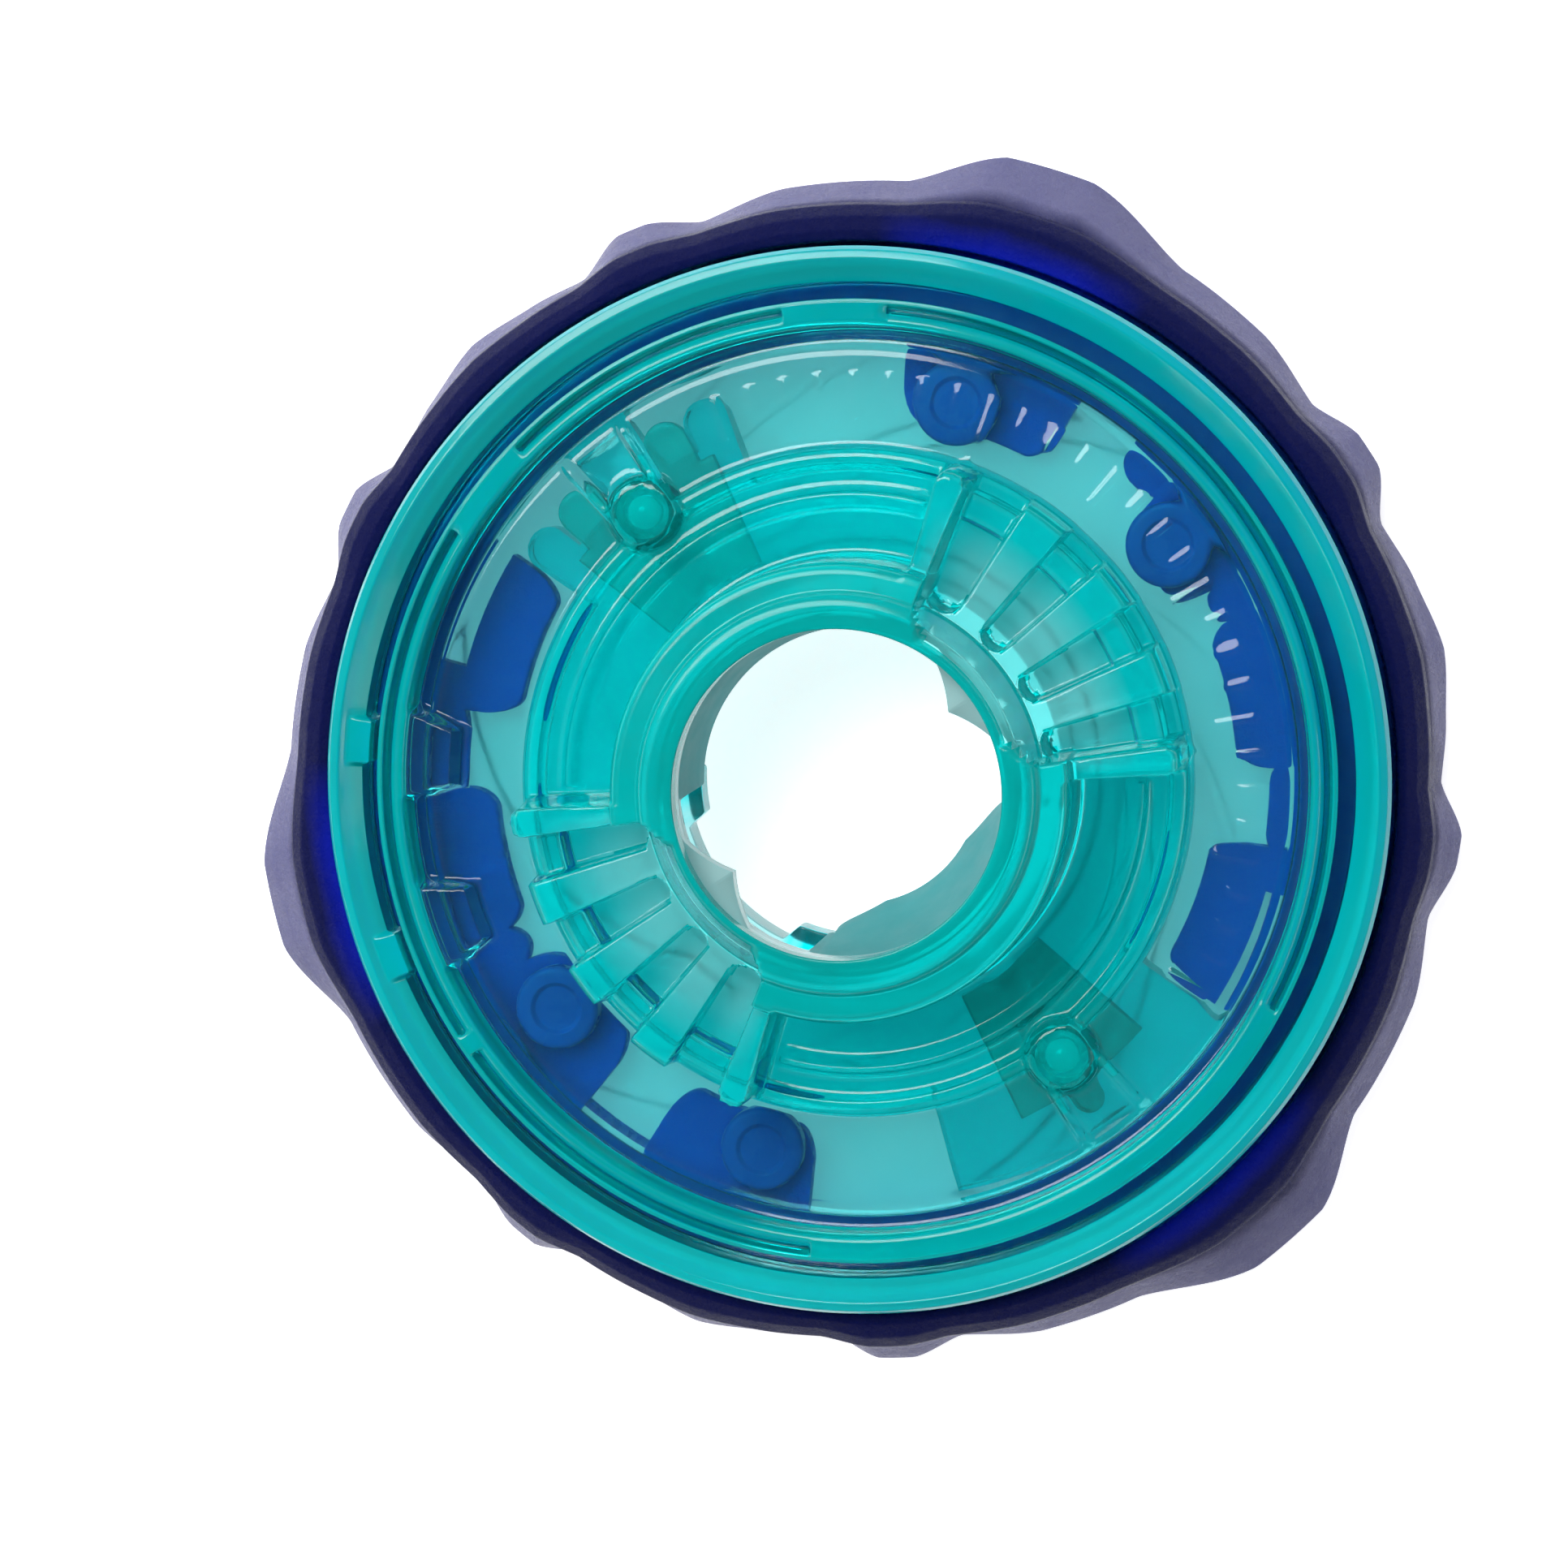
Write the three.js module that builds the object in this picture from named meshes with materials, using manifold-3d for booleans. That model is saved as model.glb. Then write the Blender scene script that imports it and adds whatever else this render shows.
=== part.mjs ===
// Upper layer of a clicking battle top, seen and modelled lying on its decorated face.
// Units are millimetres, +Z is up (towards the driver side), the spin axis is Z.
// z = 0 is the plane that the face rests on. Angles run anticlockwise from +X, in degrees.

import * as THREE from 'three';
import { mergeVertices } from 'three/addons/utils/BufferGeometryUtils.js';
import Module from 'manifold-3d';

const wasm = await Module();
wasm.setup();

// ---------------------------------------------------------------- driving dimensions

const GAP = 0.3;                // air between neighbouring solids
const SEGMENTS = 60;            // facets round a full circle
const OVERLAP = 0.1;            // how far joined or cutting solids run past each other

// heights of the stack, from the face up
const SHELL_TOP = 1.9;          // face shell is 1.9 thick
const TONGUE_BOTTOM = 2.2;      // soft tongues and the core lie on the shell
const TONGUE_TOP = 3.4;
const CORE_TOP = 4.4;
const LATCH_BOTTOM = 4.7;
const LATCH_TOP = 5.7;
const FLOOR_BOTTOM = 6.0;       // floor of the base cover is 1.0 thick
const FLOOR_TOP = 7.0;
const BAND_TOP = 8.4;
const RIM_TOP = 8.7;
const COLLAR_TOP = 13.8;        // highest point of the object

// hub
const MOUTH_R = 7.9;            // driver bore at the mouth, 15.8 across
const BORE_R = 8.8;             // bore below the mouth lip, which holds the lock sleeve
const LIP_BOTTOM = 12.6;
const HUB_R = 9.7;
const COLLAR_R = 11.0;
const CORE_BORE_R = 8.9;
const SLEEVE_R = 8.0;           // lock sleeve, hidden behind the mouth lip
const SLEEVE_OUTER_R = 8.5;
const SKIRT_R = 7.65;           // the sleeve's skirts taper in to here
const SHELF_R = 7.85;
const LEDGE_R = 6.1;

// tooth tracks, two of them half a turn apart
const TRACK_START = 3.2;        // first face of the first end wall
const TRACK_END_WALL = 6.1;     // angular width of an end wall
const TRACK_END = 73.5;
const TOOTH_PITCH = 16.2;
const TOOTH_FIRST = 17.0;
const TOOTH_WIDTH = 8.2;
const TOOTH_COUNT = 3;
const TRACK_R = 14.2;           // outer end of the teeth
const TRACK_WALL_R = 15.6;
const TRACK_OUTER_R = 16.4;
const POCKET_FLOOR = 8.7;
const TOOTH_TOP = 10.9;
const TRACK_WALL_TOP = 9.9;
const END_WALL_TOP = 12.4;

// floor, band and rim
const FLOOR_R = 21.3;
const BAND_INNER_R = 22.2;
const BAND_R = 23.6;
const RIM_INNER_R = 24.45;
const RIM_R = 26.15;
const FOOT_INNER_R = 23.0;
const FOOT_BOTTOM = 4.9;
const FOOT_TOP = 5.7;
const SHELL_R = 26.1;
const SOFT_INNER_R = 26.45;

// soft blade ring: radius of its widest edge at turning points of one third of a turn
const EDGE_PROFILE = [
  [0, 28.6], [6, 28.95], [13, 29.4], [20, 28.95], [26.5, 28.5], [31.5, 29.75], [35, 29.75],
  [40, 28.85], [48, 29.5], [58, 29.65], [69, 31.5], [77, 31.5], [86, 29.65], [98, 29.55],
  [106.5, 28.85], [112, 29.7], [115, 29.75], [120, 28.6],
];
const EDGE_BASE_R = 28.5;       // lowest stretch of the edge
const THIRD = 120;

// soft tongues: [start, end, innermost radius]; neighbours overlap by a degree
const TONGUES = [
  [2, 24, 18.6], [23, 30, 19.2], [29, 44, 17.6], [43, 51, 19.8], [60, 84, 17.9],
  [148, 171, 17.6], [170, 183, 20.2], [182, 204, 18.6], [203, 210, 19], [209, 230, 17.6],
  [240, 263, 17.9], [328, 351, 17.6], [350, 363, 20.2],
];
const TONGUE_SLIT = [20.8, 21.8, 147, 165];   // frees one end of the long tongue from the web
const TONGUE_WEB_R = 21.7;

// arms of the core, half a turn apart
const ARM_START = 103;
const ARM_END = 146;

// fastenings
const PEG_ANGLES = [37.5, 75.5, 217.5, 255.5];
const PEG_CIRCLE_R = 19.2;
const PEG_HEAD_R = 2.1;
const PEG_SHAFT_R = 1.2;
const PIN_ANGLES = [128, 308];
const PIN_CIRCLE_R = 16.8;
const PIN_R = 1.0;
const PIN_BOTTOM = 0.9;         // blind holes in the shell start here
const PIN_TOP = 7.1;
const BOSS_R = 1.9;             // closed bosses on the floor take the tops of the pins
const BOSS_TOP = 7.9;

// colours
const CLEAR_TEAL = 0x00aaa8;
const BRIGHT_TEAL = 0x00bebf;
const DEEP_TEAL = 0x009b94;
const PALE_GREEN = 0xa5cdcd;
const INDIGO = 0x14186e;
const DEEP_BLUE = 0x0c2f86;

// ---------------------------------------------------------------- geometry helpers

const radians = (degrees) => degrees * Math.PI / 180;
const polar = (r, degrees) => [r * Math.cos(radians(degrees)), r * Math.sin(radians(degrees))];

function toSolid(geometry) {
  const bare = geometry.clone();
  bare.deleteAttribute('normal');
  bare.deleteAttribute('uv');
  const merged = mergeVertices(bare, 1e-4);
  const vertProperties = new Float32Array(merged.attributes.position.array);
  const triVerts = new Uint32Array(merged.index.array);
  let solid = new wasm.Manifold(new wasm.Mesh({ numProp: 3, vertProperties, triVerts }));
  if (solid.volume() < 0) {
    for (let i = 0; i < triVerts.length; i += 3) {
      const first = triVerts[i];
      triVerts[i] = triVerts[i + 1];
      triVerts[i + 1] = first;
    }
    solid = new wasm.Manifold(new wasm.Mesh({ numProp: 3, vertProperties, triVerts }));
  }
  return solid;
}

function toGeometry(solid) {
  const mesh = solid.getMesh();
  const geometry = new THREE.BufferGeometry();
  const positions = new Float32Array(mesh.vertProperties);
  geometry.setAttribute('position', new THREE.BufferAttribute(positions, 3));
  geometry.setIndex(new THREE.BufferAttribute(new Uint32Array(mesh.triVerts), 1));
  geometry.computeVertexNormals();
  return geometry;
}

const join = (solids) => solids.reduce((sum, solid) => sum.add(solid));
const cut = (solid, tools) => tools.reduce((rest, tool) => rest.subtract(tool), solid);

// solid of revolution about Z from a closed outline of [radius, height] points
function turned(outline, segments = SEGMENTS) {
  const points = [...outline, outline[0]].map(([r, z]) => new THREE.Vector2(r, z));
  const geometry = new THREE.LatheGeometry(points, segments);
  geometry.rotateX(Math.PI / 2);
  return geometry;
}

const turnedSolid = (outline, segments) => toSolid(turned(outline, segments));

// flat plate with the outline of a THREE.Shape between two heights
function plate(shape, z0, z1, curveSegments = 12) {
  const options = { depth: z1 - z0, bevelEnabled: false, curveSegments };
  const geometry = new THREE.ExtrudeGeometry(shape, options);
  geometry.translate(0, 0, z0);
  return toSolid(geometry);
}

// annular sector between two radii and two angles
function sector(r0, r1, start, end, z0, z1) {
  const shape = new THREE.Shape();
  shape.absarc(0, 0, r1, radians(start), radians(end), false);
  shape.absarc(0, 0, r0, radians(end), radians(start), true);
  const steps = Math.max(2, Math.ceil((end - start) * SEGMENTS / 360));
  return plate(shape, z0, z1, steps);
}

// upright cylinder centred on a polar place
function post(radius, circleR, angle, z0, z1, segments = 20) {
  const geometry = new THREE.CylinderGeometry(radius, radius, z1 - z0, segments);
  geometry.rotateX(Math.PI / 2);
  const [x, y] = polar(circleR, angle);
  geometry.translate(x, y, (z0 + z1) / 2);
  return toSolid(geometry);
}

function polygonPlate(points, z0, z1) {
  return plate(new THREE.Shape(points.map(([x, y]) => new THREE.Vector2(x, y))), z0, z1);
}

const group = new THREE.Group();

function addNode(name, solid, color, roughness) {
  const material = new THREE.MeshStandardMaterial({ color, roughness, metalness: 0 });
  const mesh = new THREE.Mesh(toGeometry(solid), material);
  mesh.name = name;
  group.add(mesh);
}

// ---------------------------------------------------------------- base cover

// everything that is cleared out of the hub and the floor block to leave one tooth track
function trackClearance(turn) {
  const first = TRACK_START + TRACK_END_WALL + turn;
  const last = TRACK_END - TRACK_END_WALL + turn;
  const open = COLLAR_TOP + 1;
  const above = turnedSolid([
    [TRACK_OUTER_R + 1, TOOTH_TOP], [TRACK_OUTER_R + 1, open], [8.3, open], [8.3, 13.2],
    [9.0, 12.4], [HUB_R, 10.9], [HUB_R, TOOTH_TOP],
  ]).intersect(sector(8, TRACK_OUTER_R + 2, first, last, POCKET_FLOOR, open + 1));
  const pieces = [above];
  for (let i = 0; i <= TOOTH_COUNT; i += 1) {
    const start = i === 0 ? first : TOOTH_FIRST + TOOTH_WIDTH + (i - 1) * TOOTH_PITCH + turn;
    const end = i === TOOTH_COUNT ? last : TOOTH_FIRST + i * TOOTH_PITCH + turn;
    pieces.push(sector(HUB_R + 0.1, TRACK_R, start, end, POCKET_FLOOR, open));
    pieces.push(sector(TRACK_R - 0.5, TRACK_OUTER_R + 1, start, end, TRACK_WALL_TOP, open));
    pieces.push(sector(TRACK_WALL_R, TRACK_OUTER_R + 1, start, end, FLOOR_TOP + 0.5, open));
  }
  return pieces;
}

// chamfered key block on the inner side of the band
function keyBlock(angle) {
  const corners = [[19.7, -1.3], [19.7, 1.3], [20.7, 2.1], [BAND_INNER_R + 0.2, 2.1],
    [BAND_INNER_R + 0.2, -2.1], [20.7, -2.1]];
  const turn = radians(angle);
  const points = corners.map(([r, t]) => (
    [r * Math.cos(turn) - t * Math.sin(turn), r * Math.sin(turn) + t * Math.cos(turn)]
  ));
  return polygonPlate(points, FLOOR_TOP - OVERLAP, BAND_TOP - 0.2);
}

function baseCover() {
  const body = turnedSolid([
    [BORE_R, FLOOR_BOTTOM], [21.7, FLOOR_BOTTOM], [21.7, FOOT_BOTTOM], [22.5, FOOT_BOTTOM],
    [22.5, FLOOR_BOTTOM], [BAND_R, FLOOR_BOTTOM], [BAND_R, BAND_TOP], [BAND_INNER_R, BAND_TOP],
    [BAND_INNER_R, 6.5], [FLOOR_R + 0.2, 6.5], [FLOOR_R, FLOOR_TOP],
    [TRACK_OUTER_R + 0.2, FLOOR_TOP], [TRACK_OUTER_R - 0.1, 7.5], [15.6, FLOOR_TOP],
    [COLLAR_R, FLOOR_TOP], [COLLAR_R, 13.3], [HUB_R, 13.3], [HUB_R - 0.3, COLLAR_TOP],
    [MOUTH_R + 0.3, COLLAR_TOP], [MOUTH_R, 13.5], [MOUTH_R, LIP_BOTTOM], [BORE_R, LIP_BOTTOM],
  ]);
  const blocks = [0, 180].map((turn) => (
    sector(9.2, TRACK_OUTER_R, TRACK_START + turn, TRACK_END + turn, FLOOR_TOP - 0.5, END_WALL_TOP)
  ));
  const slots = [[-27, 85.5], [98.5, 135], [148, 213], [216, 265]].map(([start, end]) => (
    sector(22.95, 23.3, start, end, BAND_TOP - 1.2, BAND_TOP + 1)
  ));
  const bosses = PIN_ANGLES.map((angle) => (
    post(BOSS_R, PIN_CIRCLE_R, angle, FLOOR_TOP - 0.5, BOSS_TOP)
  ));
  const pinHoles = PIN_ANGLES.map((angle) => (
    post(PIN_R + GAP, PIN_CIRCLE_R, angle, FLOOR_BOTTOM - 1, PIN_TOP + GAP)
  ));
  const clearances = [0, 180].flatMap(trackClearance);
  const solid = join([body, ...blocks, ...bosses, keyBlock(176.7), keyBlock(199.4)]);
  return cut(solid, [...clearances, ...slots, ...pinHoles]);
}

// ---------------------------------------------------------------- free ring and its keeper

function rimRing() {
  const body = turnedSolid([
    [FOOT_INNER_R, FOOT_BOTTOM], [RIM_R, FOOT_BOTTOM], [RIM_R, RIM_TOP - 0.5],
    [RIM_R - 0.2, RIM_TOP - 0.1], [RIM_R - 0.6, RIM_TOP], [RIM_INNER_R, RIM_TOP - 0.8],
    [RIM_INNER_R, FOOT_TOP], [FOOT_INNER_R, FOOT_TOP],
  ]);
  const dogs = [175.5, 201].map((angle) => (
    sector(BAND_R + 0.4, RIM_INNER_R + 0.4, angle - 3, angle + 3, FOOT_TOP - OVERLAP, 7.7)
  ));
  return join([body, ...dogs]);
}

function ringKeeper() {
  return turnedSolid([[21.7, 3.8], [24.6, 3.8], [24.6, 4.6], [21.7, 4.6]]);
}

// ---------------------------------------------------------------- inner pieces

function coreBody() {
  const disc = turnedSolid([
    [CORE_BORE_R, TONGUE_BOTTOM], [16.3, TONGUE_BOTTOM], [16.3, CORE_TOP], [CORE_BORE_R, CORE_TOP],
  ]);
  const arms = [0, 180].map((turn) => (
    sector(16.2, FLOOR_R, ARM_START + turn, ARM_END + turn, TONGUE_BOTTOM, CORE_TOP)
  ));
  // short shelves under the ends of the lock sleeve's two skirts
  const shelves = [172, 244, 352, 64].map((angle) => (
    sector(SHELF_R, CORE_BORE_R + 0.2, angle, angle + 23, 3.4, 5.1)
  ));
  const pinHoles = PIN_ANGLES.map((angle) => (
    post(PIN_R + GAP, PIN_CIRCLE_R, angle, TONGUE_BOTTOM - 1, CORE_TOP + 1)
  ));
  return cut(join([disc, ...arms, ...shelves]), pinHoles);
}

// latch plate with two round-tipped fingers, over one arm of the core
function latchPlate(turn) {
  const fingers = [119.8, 136.2].flatMap((angle) => [
    sector(14.5, 19.1, angle + turn - 3.3, angle + turn + 3.3, LATCH_BOTTOM, LATCH_TOP),
    post(1.1, 19.1, angle + turn, LATCH_BOTTOM, LATCH_TOP, 16),
  ]);
  const root = sector(11.8, 17.6, 114 + turn, 142 + turn, LATCH_BOTTOM, LATCH_TOP);
  const pinHole = post(PIN_R + GAP, PIN_CIRCLE_R, 128 + turn, LATCH_BOTTOM - 1, LATCH_TOP + 1);
  return cut(join([root, ...fingers]), [pinHole]);
}

function pressPin(angle) {
  const pin = turned([[0, PIN_BOTTOM], [PIN_R - 0.2, PIN_BOTTOM], [PIN_R, PIN_BOTTOM + 0.2],
    [PIN_R, PIN_TOP - 0.3], [PIN_R - 0.3, PIN_TOP], [0, PIN_TOP]], 20);
  const [x, y] = polar(PIN_CIRCLE_R, angle);
  pin.translate(x, y, 0);
  return toSolid(pin);
}

function anchorPeg(angle) {
  const peg = turned([[0, PIN_BOTTOM + 0.3], [PEG_SHAFT_R, PIN_BOTTOM + 0.3], [PEG_SHAFT_R, 3.7],
    [PEG_HEAD_R, 3.7], [PEG_HEAD_R, 4.7], [PEG_HEAD_R - 0.3, 5.0], [0, 5.0]], 24);
  const [x, y] = polar(PEG_CIRCLE_R, angle);
  peg.translate(x, y, 0);
  return toSolid(peg);
}

// sleeve in the hub: a full ring under the mouth lip, two tapered skirts, a ledge at the foot of
// the second skirt and two pointed lugs
function lockRing() {
  const top = LIP_BOTTOM - GAP;
  const sleeve = turnedSolid([
    [SKIRT_R, 5.4], [SLEEVE_OUTER_R, 5.4], [SLEEVE_OUTER_R, top], [SLEEVE_R, top],
    [SLEEVE_R, 10.8],
  ]);
  const windows = [[4, 96], [184, 258]].map(([start, end]) => sector(7, 9, start, end, 5, 10.8));
  const ledge = sector(LEDGE_R, SLEEVE_R, 270, 350, 5.4, 6.6);
  const lugs = [37, 217].map((angle) => polygonPlate([
    polar(8.2, angle - 19), polar(6.5, angle), polar(8.2, angle + 20), polar(8.3, angle + 10),
    polar(8.3, angle - 10),
  ], 10.8, top - 0.2));
  return join([cut(sleeve, windows), ledge, ...lugs]);
}

// ---------------------------------------------------------------- soft blade ring

function edgeRadius(degrees) {
  const angle = ((degrees % THIRD) + THIRD) % THIRD;
  const after = EDGE_PROFILE.findIndex(([knot]) => knot > angle);
  const [a0, r0] = EDGE_PROFILE[after - 1];
  const [a1, r1] = EDGE_PROFILE[after];
  const t = (angle - a0) / (a1 - a0);
  return r0 + (r1 - r0) * t * t * (3 - 2 * t);
}

// how much of the edge's bumps shows at a height: all of it low down, half at the upper lip
const bumpShare = (z) => 1 - 0.5 * THREE.MathUtils.clamp((z - 2.4) / 3.5, 0, 1);

function bladeRing() {
  const flank = turned([
    [SOFT_INNER_R, 0.9], [27.1, 0.5], [28.2, 1.2], [EDGE_BASE_R, 2.3], [28.0, 4.2], [27.5, 5.8],
    [27.0, 6.7], [SOFT_INNER_R, 7.0],
  ], 144);
  const position = flank.attributes.position;
  for (let i = 0; i < position.count; i += 1) {
    const x = position.getX(i);
    const y = position.getY(i);
    const r = Math.hypot(x, y);
    if (r > SOFT_INNER_R + 0.1) {
      const bump = edgeRadius(THREE.MathUtils.radToDeg(Math.atan2(y, x))) - EDGE_BASE_R;
      const reach = THREE.MathUtils.clamp((r - SOFT_INNER_R) / 1.0, 0, 1);
      const scale = (r + bump * bumpShare(position.getZ(i)) * reach) / r;
      position.setXY(i, x * scale, y * scale);
    }
  }
  const web = turnedSolid([
    [TONGUE_WEB_R, TONGUE_BOTTOM], [26.8, TONGUE_BOTTOM], [26.8, TONGUE_TOP],
    [TONGUE_WEB_R, TONGUE_TOP],
  ]);
  const tongues = TONGUES.map(([start, end, inner]) => (
    sector(inner, TONGUE_WEB_R + 0.3, start, end, TONGUE_BOTTOM, TONGUE_TOP)
  ));
  const [slitInner, slitOuter, slitStart, slitEnd] = TONGUE_SLIT;
  const slits = [0, 180].map((turn) => (
    sector(slitInner, slitOuter, slitStart + turn, slitEnd + turn, TONGUE_BOTTOM - 1, TONGUE_TOP + 1)
  ));
  const pegHoles = PEG_ANGLES.map((angle) => (
    post(PEG_SHAFT_R + GAP, PEG_CIRCLE_R, angle, TONGUE_BOTTOM - 1, TONGUE_TOP + 1)
  ));
  return cut(join([toSolid(flank), web, ...tongues]), [...slits, ...pegHoles]);
}

// ---------------------------------------------------------------- face shell

function topShell() {
  const body = turnedSolid([
    [10.0, 0], [25.6, 0], [SHELL_R, 0.5], [SHELL_R, SHELL_TOP], [10.0, SHELL_TOP],
  ]);
  // shallow curved fields of the face relief
  const fields = [0, 120, 240].flatMap((turn) => [
    sector(12.5, 16.5, turn + 10, turn + 95, -1, 0.5),
    sector(18.0, 22.5, turn + 40, turn + 135, -1, 0.5),
  ]);
  const pinHoles = PIN_ANGLES.map((angle) => (
    post(PIN_R + GAP, PIN_CIRCLE_R, angle, PIN_BOTTOM - GAP, SHELL_TOP + 1)
  ));
  const pegHoles = PEG_ANGLES.map((angle) => (
    post(PEG_SHAFT_R + GAP, PEG_CIRCLE_R, angle, PIN_BOTTOM, SHELL_TOP + 1)
  ));
  return cut(body, [...fields, ...pinHoles, ...pegHoles]);
}

// ---------------------------------------------------------------- assembly

addNode('base_cover', baseCover(), CLEAR_TEAL, 0.15);
addNode('rim_ring', rimRing(), CLEAR_TEAL, 0.18);
addNode('ring_keeper', ringKeeper(), DEEP_BLUE, 0.3);
addNode('core_body', coreBody(), BRIGHT_TEAL, 0.25);
[0, 180].forEach((turn, i) => addNode(`latch_plate_${i + 1}`, latchPlate(turn), DEEP_TEAL, 0.25));
PIN_ANGLES.forEach((angle, i) => addNode(`press_pin_${i + 1}`, pressPin(angle), PALE_GREEN, 0.2));
PEG_ANGLES.forEach((angle, i) => addNode(`anchor_peg_${i + 1}`, anchorPeg(angle), DEEP_BLUE, 0.3));
addNode('lock_ring', lockRing(), PALE_GREEN, 0.3);
addNode('blade_ring', bladeRing(), INDIGO, 0.45);
addNode('top_shell', topShell(), PALE_GREEN, 0.35);

export default group;
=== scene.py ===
"""Looks for the upper layer of a clicking battle top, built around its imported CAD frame.

Lengths here are millimetres and angles are degrees, anticlockwise from +X, until a mesh or a
light is made in metres. The spin axis is Z and z = 0 is the plane that the face rests on.
"""

import math

import bmesh
import bpy
import numpy as np
from mathutils import Matrix, Vector


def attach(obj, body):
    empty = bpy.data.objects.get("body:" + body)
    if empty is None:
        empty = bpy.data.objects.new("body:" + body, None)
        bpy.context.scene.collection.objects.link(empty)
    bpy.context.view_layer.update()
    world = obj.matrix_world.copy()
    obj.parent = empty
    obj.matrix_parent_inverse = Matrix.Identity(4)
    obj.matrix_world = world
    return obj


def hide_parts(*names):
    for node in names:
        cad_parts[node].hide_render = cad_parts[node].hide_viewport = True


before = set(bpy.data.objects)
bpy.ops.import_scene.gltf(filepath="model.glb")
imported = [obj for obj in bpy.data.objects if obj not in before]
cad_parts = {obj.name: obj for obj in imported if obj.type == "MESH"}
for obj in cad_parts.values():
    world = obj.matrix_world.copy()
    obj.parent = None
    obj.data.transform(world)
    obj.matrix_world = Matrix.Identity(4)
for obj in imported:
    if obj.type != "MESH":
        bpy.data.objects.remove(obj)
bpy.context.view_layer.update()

MM = 0.001
THIRD = 120.0
HALF_TURN = 180.0
FULL_TURN = 360.0

# heights of the stack, from the face up
SHELL_TOP = 1.9
TONGUE_BOTTOM = 2.2
TONGUE_TOP = 3.4
CORE_TOP = 4.4
LATCH_BOTTOM = 4.7
LATCH_TOP = 5.7
FLOOR_BOTTOM = 6.0
FLOOR_TOP = 7.0
BAND_TOP = 8.4
RIM_TOP = 8.7
COLLAR_TOP = 13.8

# hub and tooth tracks
MOUTH_R = 7.9
BORE_R = 8.8
LIP_BOTTOM = 12.6
HUB_R = 9.7
COLLAR_R = 11.0
CORE_BORE_R = 8.9
SLEEVE_R = 8.0
SLEEVE_OUTER_R = 8.5
SKIRT_R = 7.65
SHELF_R = 7.85
LEDGE_R = 6.1
END_WALLS = (6.25, 70.45)
END_WALL_HALF = 3.05
END_WALL_TOP = 12.4
TRACK_FIRST = 9.3
TRACK_LAST = 67.4
POCKETS = ((9.3, 17.0), (25.2, 33.2), (41.4, 49.4), (57.6, 67.4))
TOOTH_TOP = 10.9
POCKET_FLOOR = 8.7
TRACK_WALL_TOP = 9.9
TRACK_R = 14.2
TRACK_WALL_R = 15.6
TRACK_OUTER_R = 16.4
RIDGE_HEIGHT = 0.5

# floor, band and rim
FLOOR_R = 21.3
BAND_INNER_R = 22.2
BAND_R = 23.6
BAND_SLOTS = ((-27, 85.5), (98.5, 135), (148, 213), (216, 265))
KEY_BLOCKS = (176.7, 199.4)
RIM_INNER_R = 24.45
RIM_R = 26.15
DOGS = (175.5, 201.0)
SHELL_R = 26.1
SOFT_INNER_R = 26.45

# fastenings
PEG_ANGLES = (37.5, 75.5, 217.5, 255.5)
PEG_CIRCLE_R = 19.2
PIN_ANGLES = (128, 308)
PIN_CIRCLE_R = 16.8
PIN_TOP = 7.1
BOSS_TOP = 7.9
PIN_HOLE_R = 1.3
PEG_HOLE_R = 1.5

# soft blade ring: radius of its widest edge at turning points of one third of a turn
EDGE_PROFILE = (
    (0, 28.6), (6, 28.95), (13, 29.4), (20, 28.95), (26.5, 28.5), (31.5, 29.75), (35, 29.75),
    (40, 28.85), (48, 29.5), (58, 29.65), (69, 31.5), (77, 31.5), (86, 29.65), (98, 29.55),
    (106.5, 28.85), (112, 29.7), (115, 29.75), (120, 28.6),
)
EDGE_BASE_R = 28.5
# (start, end, inner radius) of each tongue, and one slit's radii and angles
TONGUES = (
    (2, 24, 18.6), (23, 30, 19.2), (29, 44, 17.6), (43, 51, 19.8), (60, 84, 17.9),
    (148, 171, 17.6), (170, 183, 20.2), (182, 204, 18.6), (203, 210, 19.0), (209, 230, 17.6),
    (240, 263, 17.9), (328, 351, 17.6), (350, 363, 20.2),
)
TONGUE_SLIT = (20.8, 21.75, 147, 165)
TONGUE_WEB_R = 21.7


# ---------------------------------------------------------------- shaping helpers

SHARP_ANGLE = 55.0
WELD_DISTANCE = 1e-7
SLIP_KEPT = 0.03
SLIP_FADE = 0.05


def smooth_step(t):
    """0 up to 0 and 1 from 1, with a smooth S between."""
    t = np.clip(t, 0.0, 1.0)
    return t * t * (3.0 - 2.0 * t)


def inside(distance, width):
    """1 well inside an edge, where the distance is negative, and 0 well outside it."""
    return smooth_step(0.5 - distance / width)


def between(value, low, high, width):
    """1 between low and high and 0 outside them, with soft edges of a width."""
    return inside(low - value, width) * inside(value - high, width)


def blend(first, second, share):
    """The first value at share 0 and the second at share 1."""
    return first + (second - first) * share


def turn_from(angles, centre):
    """Signed angle from centre, between -180 and 180."""
    return (angles - centre + HALF_TURN) % FULL_TURN - HALF_TURN


def across(radii, angles, centre):
    """Distance along the arc from the radial line at centre."""
    return radii * np.radians(turn_from(angles, centre))


def graded(low, high, coarse, edges, fine, reach):
    """Numbers from low to high, close together near the edges and coarse elsewhere."""
    values = [low]
    while values[-1] < high - fine * 0.5:
        ahead = values[-1] + fine
        near = any(abs(ahead - edge) < reach for edge in edges)
        step = fine if near else coarse
        values.append(min(high, values[-1] + step))
    values[-1] = high
    return np.array(values)


def full_circle(coarse, edges, fine, reach):
    """Column angles for one turn, without its last one, which is the first again."""
    repeats = [edge % FULL_TURN + turn for edge in edges for turn in (-FULL_TURN, 0.0, FULL_TURN)]
    return graded(0.0, FULL_TURN, coarse, repeats, fine, reach)[:-1]


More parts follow.
